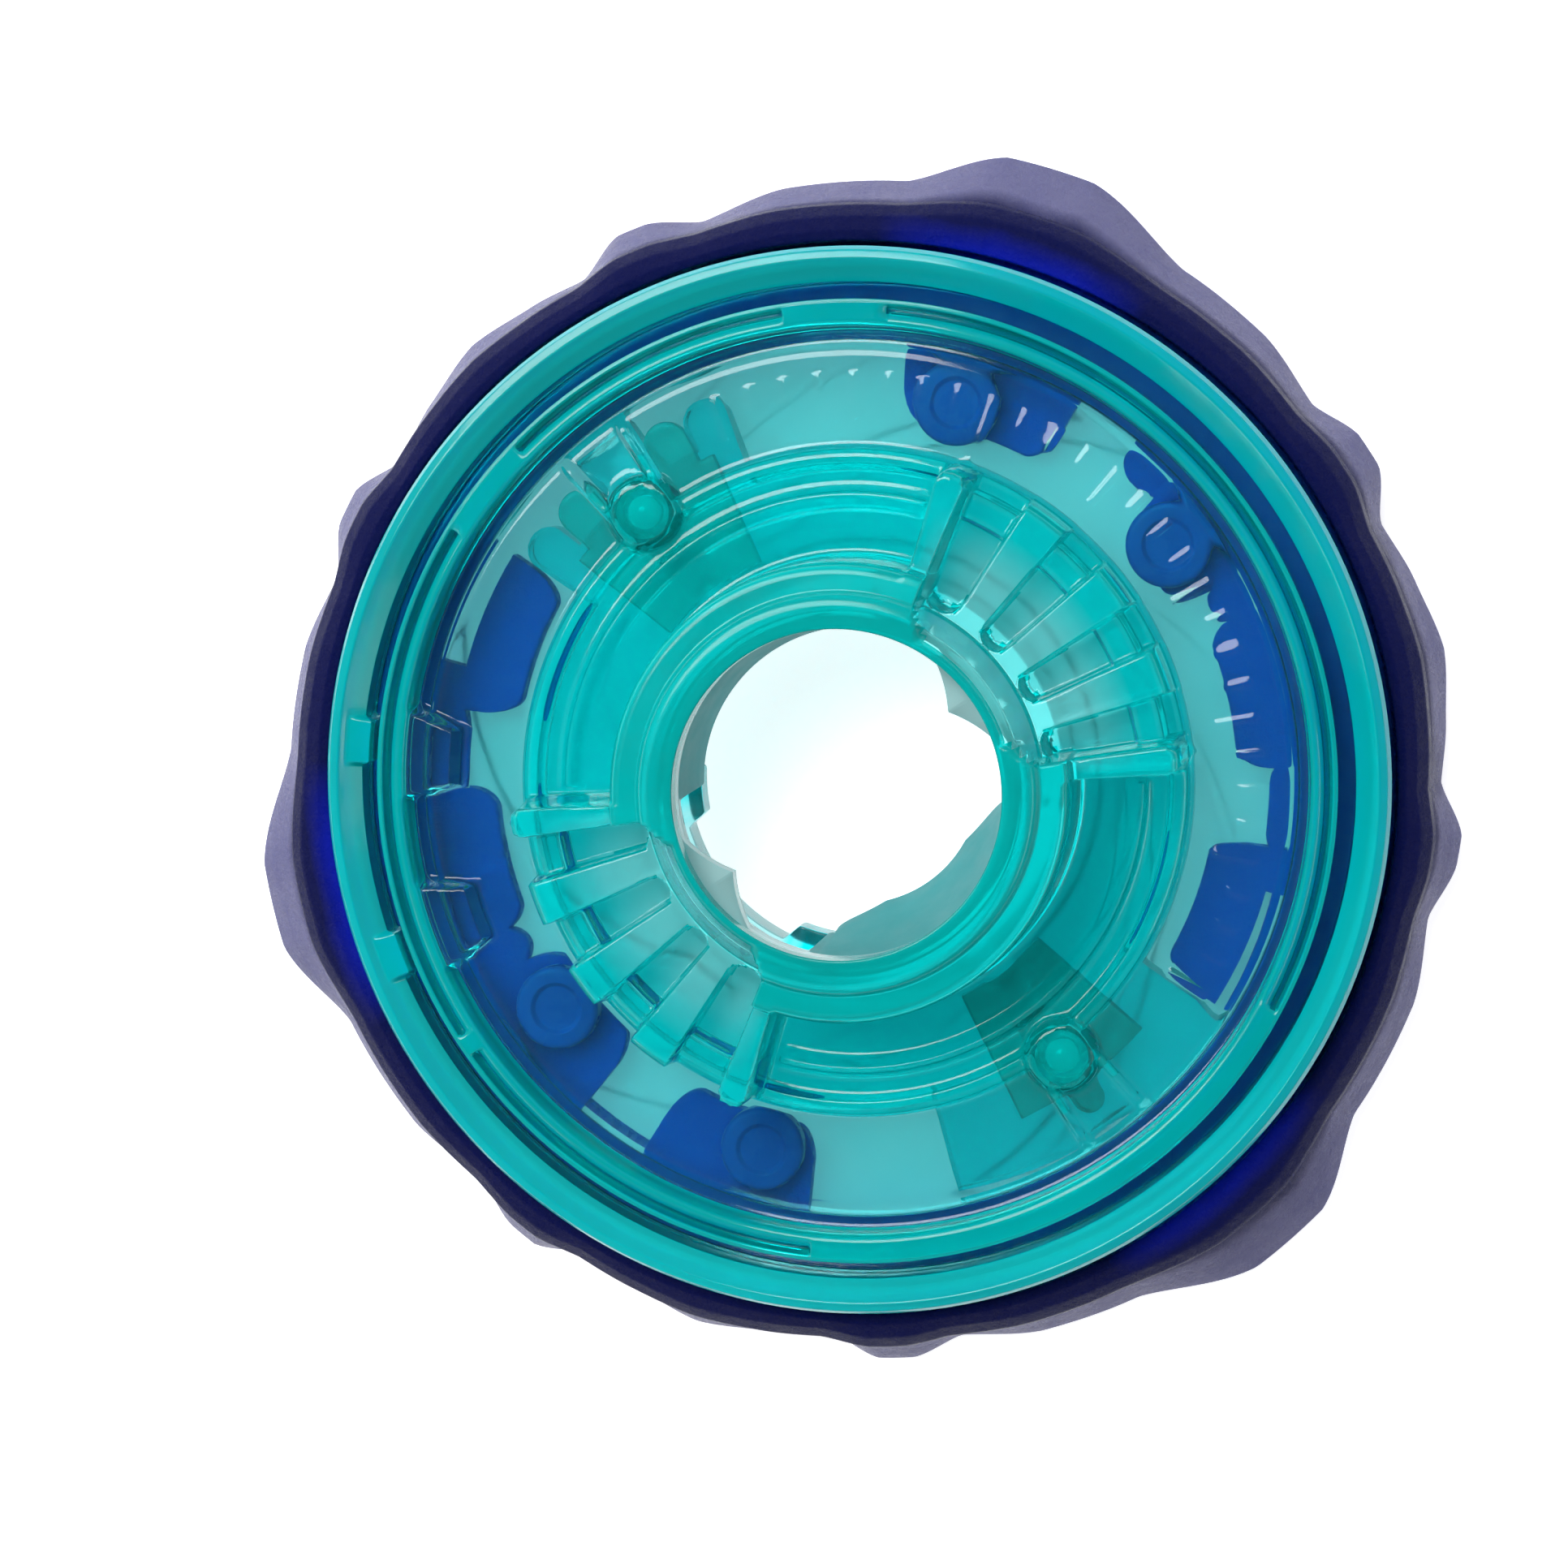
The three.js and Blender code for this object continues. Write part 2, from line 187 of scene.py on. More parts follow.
def rounded(corners, closed=True, steps=4, support=0.06):
    """Outline through (r, z, fillet) corners, with close points beside each fillet."""
    count = len(corners)
    outline = []
    for index, (r, z, fillet) in enumerate(corners):
        here = np.array([r, z], float)
        is_end = not closed and index in (0, count - 1)
        if is_end or fillet == 0:
            outline.append(here)
            continue
        before = np.array(corners[index - 1][:2], float) - here
        after = np.array(corners[(index + 1) % count][:2], float) - here
        length_before = np.linalg.norm(before)
        length_after = np.linalg.norm(after)
        before /= length_before
        after /= length_after
        half = math.acos(np.clip(before @ after, -1.0, 1.0)) / 2.0
        reach = min(fillet / math.tan(half), 0.4 * length_before, 0.4 * length_after)
        start = here + before * reach
        end = here + after * reach
        if reach + support < 0.45 * length_before:
            outline.append(start + before * support)
        for t in np.linspace(0.0, 1.0, steps + 1):
            outline.append((1 - t) ** 2 * start + 2 * t * (1 - t) * here + t * t * end)
        if reach + support < 0.45 * length_after:
            outline.append(end + after * support)
    return np.array(outline)


def new_piece(name, points, faces, body, nodes):
    """A smooth-shaded mesh object that rides on a body and stands for CAD nodes."""
    mesh = bpy.data.meshes.new(name)
    mesh.from_pydata(points.tolist(), [], faces)
    mesh.validate()
    mesh.polygons.foreach_set("use_smooth", np.ones(len(mesh.polygons), bool))
    piece = bpy.data.objects.new(name, mesh)
    bpy.context.scene.collection.objects.link(piece)
    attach(piece, body)
    if nodes:
        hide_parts(*nodes)
    return piece


def grid_faces(columns, count, closed):
    """Quads between neighbouring outlines, with flat ends on an open sweep."""
    spans = columns if closed else columns - 1
    column, place = np.meshgrid(np.arange(spans), np.arange(count), indexing="ij")
    next_column = (column + 1) % columns
    next_place = (place + 1) % count
    quads = np.stack([
        column * count + place, next_column * count + place,
        next_column * count + next_place, column * count + next_place,
    ], axis=-1).reshape(-1, 4)
    faces = quads.tolist()
    if not closed:
        last = (columns - 1) * count
        faces.append(list(range(count)))
        faces.append(list(range(last + count - 1, last - 1, -1)))
    return faces


def signed_volume(points, faces):
    """Six times the volume inside the quads, below zero where they face inwards."""
    total = 0.0
    quads = np.array([face for face in faces if len(face) == 4])
    corners = points[quads]
    for second, third in ((1, 2), (2, 3)):
        crossed = np.cross(corners[:, second], corners[:, third])
        total += np.einsum("ij,ij->", corners[:, 0], crossed)
    return total


def swept(name, radii, heights, angles, body, nodes, closed=True, centre=(0.0, 0.0)):
    """Piece made of one outline per angle: radii and heights hold a row for each angle."""
    turn = np.radians(angles)[:, None]
    radii = np.broadcast_to(radii, (len(angles), radii.shape[-1]))
    heights = np.broadcast_to(heights, radii.shape)
    x = radii * np.cos(turn) + centre[0]
    y = radii * np.sin(turn) + centre[1]
    points = np.stack([x, y, heights], axis=-1).reshape(-1, 3) * MM
    faces = grid_faces(len(angles), radii.shape[1], closed)
    if signed_volume(points, faces) < 0:
        faces = [face[::-1] for face in faces]
    return new_piece(name, points, faces, body, nodes)


def polar(radius, angle):
    """The x and y of a point at a radius and an angle."""
    turn = math.radians(angle)
    return radius * math.cos(turn), radius * math.sin(turn)


def post(name, corners, place, body, nodes, columns=64):
    """Round post with its axis at a place, from (r, z, fillet) corners that start on the axis."""
    outline = rounded(corners, closed=False)
    angles = np.linspace(0.0, FULL_TURN, columns, endpoint=False)
    piece = swept(
        name, outline[:, 0], outline[:, 1], angles, body, nodes, centre=place,
    )
    shape = bmesh.new()
    shape.from_mesh(piece.data)
    bmesh.ops.remove_doubles(shape, verts=shape.verts, dist=WELD_DISTANCE)
    bmesh.ops.recalc_face_normals(shape, faces=shape.faces)
    shape.to_mesh(piece.data)
    shape.free()
    return piece


def cut_away(piece, shape):
    """Takes a closed bmesh away from a piece, and keeps the cut's edges crisp."""
    mesh = bpy.data.meshes.new("bit")
    shape.to_mesh(mesh)
    shape.free()
    bit = bpy.data.objects.new("bit", mesh)
    bpy.context.scene.collection.objects.link(bit)
    cut = piece.modifiers.new("cut", "BOOLEAN")
    cut.operation = "DIFFERENCE"
    cut.solver = "EXACT"
    cut.object = bit
    graph = bpy.context.evaluated_depsgraph_get()
    result = bpy.data.meshes.new_from_object(piece.evaluated_get(graph))
    piece.modifiers.clear()
    old = piece.data
    piece.data = result
    bpy.data.meshes.remove(old)
    bpy.data.objects.remove(bit)
    result.set_sharp_from_angle(angle=math.radians(SHARP_ANGLE))


def arc_slots(piece, inner, outer, start, end, turns, z_low, z_high, steps=24):
    """Cuts curved slots with square ends through a piece."""
    shape = bmesh.new()
    for turn in turns:
        sweep = np.linspace(start + turn, end + turn, steps)
        outline = [polar(inner, angle) for angle in sweep]
        outline += [polar(outer, angle) for angle in sweep[::-1]]
        low, high = (
            [shape.verts.new((x * MM, y * MM, z * MM)) for x, y in outline] for z in (z_low, z_high)
        )
        count = len(outline)
        for first in range(count):
            second = (first + 1) % count
            shape.faces.new((low[first], low[second], high[second], high[first]))
        for first in range(steps - 1):
            across_first, across_second = count - 1 - first, count - 2 - first
            shape.faces.new((low[first], low[across_first], low[across_second], low[first + 1]))
            shape.faces.new((high[first], high[first + 1], high[across_second], high[across_first]))
    bmesh.ops.recalc_face_normals(shape, faces=shape.faces)
    cut_away(piece, shape)


def round_shading(piece):
    """Takes small sideways slips out of the normals, which would show as radial streaks."""
    mesh = piece.data
    count = len(mesh.vertices)
    points = np.empty(3 * count)
    normals = np.empty(3 * count)
    mesh.vertices.foreach_get("co", points)
    mesh.vertex_normals.foreach_get("vector", normals)
    points = points.reshape(-1, 3)
    normals = normals.reshape(-1, 3)
    radius = np.hypot(points[:, 0], points[:, 1])
    along = np.stack([-points[:, 1] / radius, points[:, 0] / radius, 0 * radius], axis=-1)
    slip = np.einsum("ij,ij->i", normals, along)
    share = 1.0 - smooth_step((np.abs(slip) - SLIP_KEPT) / SLIP_FADE)
    turned = normals - (slip * share)[:, None] * along
    turned /= np.linalg.norm(turned, axis=1)[:, None]
    turned[share == 0] = 0.0
    mesh.normals_split_custom_set_from_vertices(turned.tolist())


def bore_holes(piece, circle_radius, angles, radius, z_low, z_high, sides=48):
    """Cuts round upright holes through a piece."""
    shape = bmesh.new()
    for angle in angles:
        x, y = polar(circle_radius, angle)
        middle = Matrix.Translation(Vector((x, y, (z_low + z_high) / 2)) * MM)
        bmesh.ops.create_cone(
            shape, cap_ends=True, segments=sides, radius1=radius * MM, radius2=radius * MM,
            depth=(z_high - z_low) * MM, matrix=middle,
        )
    cut_away(piece, shape)


# ---------------------------------------------------------------- base cover

# radii and heights of the hub's cone in a track and of the collar beside the tracks
SURFACE_FIRST_R = 8.15
SURFACE_LAST_R = 23.46
CONE_SECTION = (
    (SURFACE_FIRST_R, 8.3, 8.45, 9.0, HUB_R), (COLLAR_TOP, 13.75, 13.1, 12.4, TOOTH_TOP),
)
COLLAR_SECTION = (
    (SURFACE_FIRST_R, 9.35, 9.7, COLLAR_R), (COLLAR_TOP, COLLAR_TOP, 13.35, 13.3),
)
TRACK_SPAN = (1.5, 75.2)
TRACK_SWEEP = (8.5, 6.0)
POCKET_ROOT_R = 9.9
INNER_RIDGE_R = (13.75, 14.35)
STEP_R = FLOOR_R + 0.1
STEP_DROP = 0.5
KEY_INNER_R = 19.8
KEY_TOP = 8.2
BAND_SLOT_R = 23.12
BAND_SLOT_HALF = 0.17
BAND_SLOT_DEPTH = 0.7
BOSS_R = 1.75
SPIGOT_R = (21.7, 22.5)
SPIGOT_BOTTOM = 4.9
MARK_R = 19.0
TICK_FIRST = -30
TICK_LAST = 110
TICK_PITCH = 5
TICKS_PER_GROUP = 4
TICK_HALF = 0.15
TICK_HEIGHT = 0.07
TICK_OUTER_R = 20.1
TICK_LONG_R = 17.9
TICK_SHORT_R = 18.9
RIB_ANGLES = (123.4, 132.6, 303.4, 312.6)
RIB_HALF = 0.22
RIB_HEIGHT = 0.4
RIB_R = (17.6, 21.0)


def stadium(radii, offset, half_width, end_radius, end_half, outwards):
    """Distance to a radial strip whose end at end_radius is a half circle."""
    past = (radii - end_radius) * outwards
    straight = np.abs(offset) - half_width
    round_end = np.hypot(past, offset) - end_half
    return np.where(past > 0, round_end, straight)


def track_interior(radii, half):
    """Heights between the end walls: cone of the hub, teeth, pockets and the low outer wall."""
    z = FLOOR_TOP + (TOOTH_TOP - FLOOR_TOP) * inside(radii - TRACK_OUTER_R, 0.28)
    pocket = blend(POCKET_FLOOR, TRACK_WALL_TOP, inside(TRACK_R - radii, 0.24))
    pocket = blend(pocket, FLOOR_TOP + RIDGE_HEIGHT, inside(TRACK_WALL_R - radii, 0.24))
    pocket = blend(pocket, FLOOR_TOP, inside(TRACK_OUTER_R - radii, 0.28))
    for first, last in POCKETS:
        half_angle = math.radians((last - first) / 2)
        offset = across(radii, half, (first + last) / 2)
        end_half = 10.6 * half_angle
        end_radius = POCKET_ROOT_R + end_half
        distance = stadium(radii, offset, radii * half_angle, end_radius, end_half, -1)
        z = blend(z, pocket, inside(distance, 0.22))
    cone = np.interp(radii, *CONE_SECTION)
    return np.where(radii < HUB_R, cone + 0 * half, z)


def cover_surface(radii, angles):
    """Height of the base cover's upper surface over a grid of angles and radii."""
    radii = radii[None, :]
    angles = angles[:, None]
    half = angles % HALF_TURN
    away = 1.0 - between(half, *TRACK_SPAN, 1.5)
    z = FLOOR_TOP + RIDGE_HEIGHT * between(radii, TRACK_WALL_R, TRACK_OUTER_R, 0.3)
    z = z + RIDGE_HEIGHT * between(radii, *INNER_RIDGE_R, 0.3) * away
    half_angle = math.radians(END_WALL_HALF)
    for centre in END_WALLS:
        offset = across(radii, half, centre)
        end_half = 15.6 * half_angle
        end_radius = TRACK_OUTER_R - end_half
        distance = stadium(radii, offset, radii * half_angle, end_radius, end_half, 1)
        z = blend(z, END_WALL_TOP, inside(distance, 0.34))
    collar = np.interp(radii, *COLLAR_SECTION)
    z = blend(z, collar, inside(radii - COLLAR_R - 0.12, 0.3))
    sweep_in = 1.0 - smooth_step((radii - 8.3) / 1.5)
    first = TRACK_FIRST + TRACK_SWEEP[0] * sweep_in
    last = TRACK_LAST - TRACK_SWEEP[1] * sweep_in
    track = inside(-across(radii, half, first), 0.3) * inside(across(radii, half, last), 0.3)
    z = blend(z, track_interior(radii, half), track)
    z = z - STEP_DROP * inside(STEP_R - radii, 0.22)
    for centre in KEY_BLOCKS:
        offset = across(radii, angles, centre)
        half_width = np.interp(radii, (KEY_INNER_R, 22.3), (1.4, 2.3))
        distance = np.maximum(np.abs(offset) - half_width, KEY_INNER_R - radii)
        z = blend(z, KEY_TOP, inside(distance, 0.4))
    z = blend(z, BAND_TOP, inside(BAND_INNER_R + 0.05 - radii, 0.2))
    for start, end in BAND_SLOTS:
        middle = (start + end) / 2
        reach = np.abs(across(radii, angles, middle)) - radii * math.radians(end - start) / 2
        distance = np.maximum(reach, np.abs(radii - BAND_SLOT_R) - BAND_SLOT_HALF)
        z = z - BAND_SLOT_DEPTH * inside(distance, 0.2)
    for centre in RIB_ANGLES:
        offset = np.abs(across(radii, angles, centre)) - RIB_HALF
        z = z + RIB_HEIGHT * inside(offset, 0.2) * between(radii, *RIB_R, 0.3)
    for centre in PIN_ANGLES:
        offset = across(radii, angles, centre)
        z = z + (BOSS_TOP - z) * inside(np.hypot(offset, radii - PIN_CIRCLE_R) - BOSS_R, 0.55)
    for index, centre in enumerate(tick_angles()):
        inner = TICK_LONG_R if index % TICKS_PER_GROUP == 0 else TICK_SHORT_R
        offset = np.abs(across(radii, angles, centre)) - TICK_HALF
        z = z + TICK_HEIGHT * inside(offset, 0.12) * between(radii, inner, TICK_OUTER_R, 0.2)
    return z


def tick_angles():
    """Angles of the scale's ticks."""
    return range(TICK_FIRST, TICK_LAST + 1, TICK_PITCH)


def cover_columns():
    """Angles of the base cover's columns, close together on every radial wall."""
    walls = [edge for pair in POCKETS for edge in pair]
    walls += [wall + side * END_WALL_HALF for wall in END_WALLS for side in (-1, 1)]
    both = [wall + turn for turn in (0, HALF_TURN) for wall in walls]
    coarse = full_circle(1.8, both, 0.45, 3.4)
    extra = []
    for centres, half, soft in ((tick_angles(), TICK_HALF, 0.07), (RIB_ANGLES, RIB_HALF, 0.1)):
        foot = math.degrees((half + soft) / MARK_R)
        crest = math.degrees((half - soft) / MARK_R)
        extra += [centre + shift for centre in centres for shift in (-foot, -crest, crest, foot)]
    extra += [centre + shift for centre in PIN_ANGLES for shift in np.arange(-7.6, 7.7, 0.4)]
    extra += [centre + side * shift for centre in KEY_BLOCKS for side in (-1, 1)
              for shift in np.arange(3.3, 7.2, 0.3)]
    extra += [edge + shift for pair in BAND_SLOTS for edge in pair for shift in (-0.25, 0, 0.25)]
    merged = np.sort(np.concatenate([coarse, np.array(extra) % FULL_TURN]))
    keep = np.concatenate([[True], np.diff(merged) > 0.12])
    return merged[keep]


def base_cover():
    """Floor with the hub, collar, tooth tracks, band and scale, and a spigot underneath."""
    edges = (
        9.55, 9.95, 10.35, 11.12, TRACK_R, 15.1, TRACK_WALL_R, TRACK_OUTER_R, TICK_LONG_R, 18.5,
        TICK_OUTER_R, STEP_R, BAND_INNER_R, 22.95, 23.29,
    )
    top_radii = graded(SURFACE_FIRST_R, SURFACE_LAST_R, 0.27, edges, 0.07, 0.18)
    angles = cover_columns()
    top = cover_surface(top_radii, angles)
    rest = rounded((
        (23.47, BAND_TOP - 0.01, 0), (BAND_R, BAND_TOP, 0.1), (BAND_R, FLOOR_BOTTOM, 0.1),
        (SPIGOT_R[1], FLOOR_BOTTOM, 0.08), (SPIGOT_R[1], SPIGOT_BOTTOM, 0.08),
        (SPIGOT_R[0], SPIGOT_BOTTOM, 0.08), (SPIGOT_R[0], FLOOR_BOTTOM, 0.08),
        (BORE_R, FLOOR_BOTTOM, 0.1), (BORE_R, LIP_BOTTOM, 0.1), (MOUTH_R, LIP_BOTTOM, 0.1),
        (MOUTH_R, COLLAR_TOP, 0.22), (8.14, COLLAR_TOP, 0),
    ), closed=False, steps=3)
    radii = np.concatenate([top_radii, rest[:, 0]])
    heights = np.concatenate([top, np.broadcast_to(rest[:, 1], (len(angles), len(rest)))], axis=1)
    piece = swept("base_cover_fine", radii, heights, angles, "layer", ["base_cover"])
    bore_holes(piece, PIN_CIRCLE_R, PIN_ANGLES, PIN_HOLE_R, FLOOR_BOTTOM - 0.5, PIN_TOP + 0.3)
    round_shading(piece)
    return piece


# ---------------------------------------------------------------- free ring and its keeper

RIM_BOTTOM = 4.9
RIM_CREST_R = 25.55
RIM_SLOPE_DROP = 0.8
RIM_SLOPE_WIDTH = 1.1
FLANGE_INNER_R = 23.0
FLANGE_TOP = 5.7
DOG_HALF = 2.7
DOG_DEPTH = 0.42
DOG_TOP = 8.42
KEEPER_R = (21.7, 24.6)
KEEPER_Z = (3.8, 4.6)


def rim_ring():
    """Ring that spins freely, with a sloped crest, a thin flange and two inner dogs."""
    corners = [
        (FLANGE_INNER_R, RIM_BOTTOM, 0.1), (RIM_R, RIM_BOTTOM, 0.15), (RIM_R, 8.2, 0.12),
        (RIM_R - 0.2, 8.58, 0.1), (RIM_CREST_R, RIM_TOP, 0.14),
    ]
    corners += [(r, RIM_TOP - RIM_SLOPE_DROP * (RIM_CREST_R - r) / RIM_SLOPE_WIDTH, 0)
                for r in np.arange(25.3, 24.5, -0.1)]
    corners += [(RIM_INNER_R, 7.9, 0.1)]
    corners += [(RIM_INNER_R, z, 0) for z in (7.5, 7.2, 6.6, 6.1)]
    corners += [(RIM_INNER_R, FLANGE_TOP, 0.1), (FLANGE_INNER_R, FLANGE_TOP, 0.1)]
    outline = rounded(corners)
    edges = [dog + side * DOG_HALF for dog in DOGS for side in (-1, 1)]
    angles = full_circle(0.75, edges, 0.12, 0.9)
    radii = np.tile(outline[:, 0], (len(angles), 1))
    heights = np.tile(outline[:, 1], (len(angles), 1))
    for dog in DOGS:
        turn = np.abs(turn_from(angles, dog))[:, None]
        on_dog = inside(turn - DOG_HALF, 0.7)
        on_wall = (radii < RIM_INNER_R + 0.12) & (heights > 5.75) & (radii > 24.0)
        radii = radii - DOG_DEPTH * on_dog * on_wall
        on_slope = (heights > 7.6) * inside(outline[None, :, 0] - 25.15, 0.3)
        heights = blend(heights, DOG_TOP, on_dog * on_slope)
    piece = swept("rim_ring_fine", radii, heights, angles, "free_ring", ["rim_ring"])
    round_shading(piece)
    return piece


def ring_keeper():
    """Flat washer under the free ring."""
    (inner, outer), (low, high) = KEEPER_R, KEEPER_Z
    corners = ((inner, low), (outer, low), (outer, high), (inner, high))
    outline = rounded([(r, z, 0.15) for r, z in corners])
    angles = full_circle(1.0, (), 0.5, 0.1)
    return swept(
        "ring_keeper_fine", outline[:, 0], outline[:, 1], angles, "layer", ["ring_keeper"],
    )


# ---------------------------------------------------------------- inner pieces

CORE_R = 16.3
# (centre, half angle, tip radius) of each finger
CORE_FINGERS = ((113.5, 3.4, 20.4), (144.0, 3.3, 20.4))
# (centre, half angle, softness in degrees, outer radius) of each arm
CORE_ARMS = ((128.3, 5.2, 0.5, 21.2), (128.5, 18.0, 0.5, 18.2), (305.5, 22.0, 0.6, 21.2))
CORE_EDGES = (103, 110, 117, 124, 132.5, 134.5, 141, 147, 283, 328)
SHELVES = ((172, 197), (244, 267), (352, 375), (64, 87))
SHELF_RISE = 0.65
FINGER_INSET = 1.2
LATCH_INNER_R = 11.8
LATCH_OUTER_R = 17.6
SKIRTS = ((96, 184), (258, 364))
SKIRT_DROP = 5.1
SKIRT_HEM = 10.8
LEDGE_MIDDLE = 308.0
LEDGE_HALF = 46.0
LEDGE_TAPER = 22.0
LUGS = (37, 217)
LUG_HALF = 19.5
LUG_R = 6.5


def capsule_edge(angles, centre, half_angle, tip, root):
    """Outer radius of a round-tipped finger, or root beside it."""
    half_width = (tip - FINGER_INSET) * math.radians(half_angle)
    offset = across(tip - half_width, angles, centre)
    inner = np.clip(half_width ** 2 - offset ** 2, 0.0, None)
    finger = tip - half_width + np.sqrt(inner)
    return np.where(np.abs(offset) < half_width, np.maximum(finger, root), root)


def core_body():
    """Disc with one arm of round fingers, one plain arm, and four shelves in its bore."""
    edges = [*CORE_EDGES, *(end for pair in SHELVES for end in pair)]
    angles = full_circle(1.0, edges, 0.2, 1.4)
    outer = np.full(len(angles), CORE_R)
    for centre, half_angle, tip in CORE_FINGERS:
        outer = np.maximum(outer, capsule_edge(angles, centre, half_angle, tip, CORE_R))
    for centre, half_angle, soft, reach in CORE_ARMS:
        on_arm = between(turn_from(angles, centre), -half_angle, half_angle, soft)
        outer = np.maximum(outer, blend(CORE_R, reach, on_arm))
    shelf = np.zeros(len(angles))
    for start, end in SHELVES:
        half = (end - start) / 2
        away = np.abs(turn_from(angles, start + half))
        shelf = np.maximum(shelf, smooth_step((half - away) / 5.0))
    outline = rounded((
        (CORE_BORE_R, TONGUE_BOTTOM, 0.1), (CORE_R, TONGUE_BOTTOM, 0.12), (CORE_R, CORE_TOP, 0.2),
        (9.6, CORE_TOP, 0.1), (9.3, CORE_TOP + 0.01, 0.1), (CORE_BORE_R, CORE_TOP + 0.02, 0.12),
        (CORE_BORE_R, 3.6, 0.08), (CORE_BORE_R, 3.4, 0.08),
    ))
    flat = outline[:, 0]
    base = outline[:, 1]
    stretch = smooth_step((flat - 14.0) / 2.0)
    radii = flat[None, :] + (outer[:, None] - CORE_R) * stretch[None, :]
    in_bore = (flat < CORE_BORE_R + 0.25) & (base > 3.3)
    radii = radii - (CORE_BORE_R - SHELF_R) * shelf[:, None] * in_bore[None, :]
    raised = (flat < 9.5) & (base > CORE_TOP - 0.35)
    heights = base[None, :] + SHELF_RISE * shelf[:, None] * raised[None, :]
    piece = swept("core_body_fine", radii, heights, angles, "layer", ["core_body"])
    bore_holes(piece, PIN_CIRCLE_R, PIN_ANGLES, PIN_HOLE_R, TONGUE_BOTTOM - 0.5, CORE_TOP + 0.5)
    return piece


def latch_plate(number, centre, fingers, root_half, root_radius):
    """Plate over one arm of the core; each finger is (angle from centre, half angle, tip)."""
    edges = [centre + angle + side * half for angle, half, _ in fingers for side in (-1, 1)]
    angles = graded(centre - root_half, centre + root_half, 0.5, edges, 0.12, 1.2)
    outer = np.full(len(angles), root_radius)
    for angle, half, tip in fingers:
        outer = np.maximum(outer, capsule_edge(angles, centre + angle, half, tip, root_radius))
    outline = rounded((
        (LATCH_INNER_R, LATCH_BOTTOM, 0.12), (LATCH_OUTER_R, LATCH_BOTTOM, 0.12),
        (LATCH_OUTER_R, LATCH_TOP, 0.25), (LATCH_INNER_R, LATCH_TOP, 0.25),
    ))
    stretch = smooth_step((outline[:, 0] - 15.0) / 2.0)
    radii = outline[None, :, 0] + (outer[:, None] - LATCH_OUTER_R) * stretch[None, :]
    name = f"latch_plate_{number}"
    piece = swept(
        name + "_fine", radii, outline[:, 1], angles, "layer", [name], closed=False,
    )
    bore_holes(piece, PIN_CIRCLE_R, (centre,), PIN_HOLE_R, LATCH_BOTTOM - 0.5, LATCH_TOP + 0.5)
    return piece


def lock_ring():
    """Sleeve with two skirts, a ledge on one of them, and two pointed lugs under the lip."""
    top = LIP_BOTTOM - 0.3
    angles = full_circle(1.0, [end for pair in SKIRTS for end in pair], 0.2, 2.0)
    skirt = np.zeros(len(angles))
    for start, end in SKIRTS:
        half = (end - start) / 2
        away = turn_from(angles, start + half)
        skirt = np.maximum(skirt, between(away, 1.0 - half, half - 1.0, 3.0))
    outline = rounded((
        (SLEEVE_R, 10.5, 0.1), (SLEEVE_OUTER_R, 10.5, 0.1), (SLEEVE_OUTER_R, top, 0.12),
        (SLEEVE_R, top, 0.12), (SLEEVE_R, 12.1, 0.05), (SLEEVE_R, 11.1, 0.05),
    ))
    radii = np.tile(outline[:, 0], (len(angles), 1))
    heights = np.tile(outline[:, 1], (len(angles), 1))
    low = smooth_step((SKIRT_HEM - outline[:, 1]) / 0.2)[None, :]
    heights = heights - SKIRT_DROP * skirt[:, None] * low
    inner = (outline[:, 0] < SLEEVE_R + 0.2)[None, :]
    radii = radii - (SLEEVE_R - SKIRT_R) * skirt[:, None] * low * inner
    away = np.abs(turn_from(angles, LEDGE_MIDDLE))
    ledge = np.sqrt(np.clip((LEDGE_HALF - away) / LEDGE_TAPER, 0.0, 1.0))[:, None]
    radii = radii - (SKIRT_R - LEDGE_R) * ledge * low * inner
    for lug in LUGS:
        turn = np.abs(turn_from(angles, lug))[:, None]
        depth = np.clip(1.0 - turn / LUG_HALF, 0.0, 1.0)
        on_lug = inner & (outline[:, 1] > 10.95)[None, :] & (outline[:, 1] < 12.2)[None, :]
        radii = radii - (SLEEVE_R - LUG_R) * depth * on_lug
    piece = swept("lock_ring_fine", radii, heights, angles, "layer", ["lock_ring"])
    round_shading(piece)
    return piece


def press_pin(number, angle):
    """Pin pressed up through the shell, the core, a latch plate and the cover."""
    name = f"press_pin_{number}"
    corners = ((0, 0.9, 0), (1.0, 0.9, 0.15), (1.0, PIN_TOP, 0.3), (0, PIN_TOP + 0.02, 0))
    place = polar(PIN_CIRCLE_R, angle)
    return post(name + "_fine", corners, place, "layer", [name])


def anchor_peg(number, angle):
    """Headed peg through a hole in the soft ring's web."""
    name = f"anchor_peg_{number}"
    corners = (
        (0, 1.2, 0), (1.2, 1.2, 0.15), (1.2, 3.7, 0.1), (2.1, 3.7, 0.1), (2.1, 4.95, 0.3),
        (1.3, 5.0, 0.1), (1.1, 4.8, 0.1), (0, 4.8, 0),
    )
    place = polar(PEG_CIRCLE_R, angle)
    return post(name + "_fine", corners, place, "layer", [name])


# ---------------------------------------------------------------- soft blade ring

EDGE_EASE = 0.45
CORNER_SWEEP = 3.6
CORNER_START = 0.45
UPPER_SHARE_LOST = 0.66


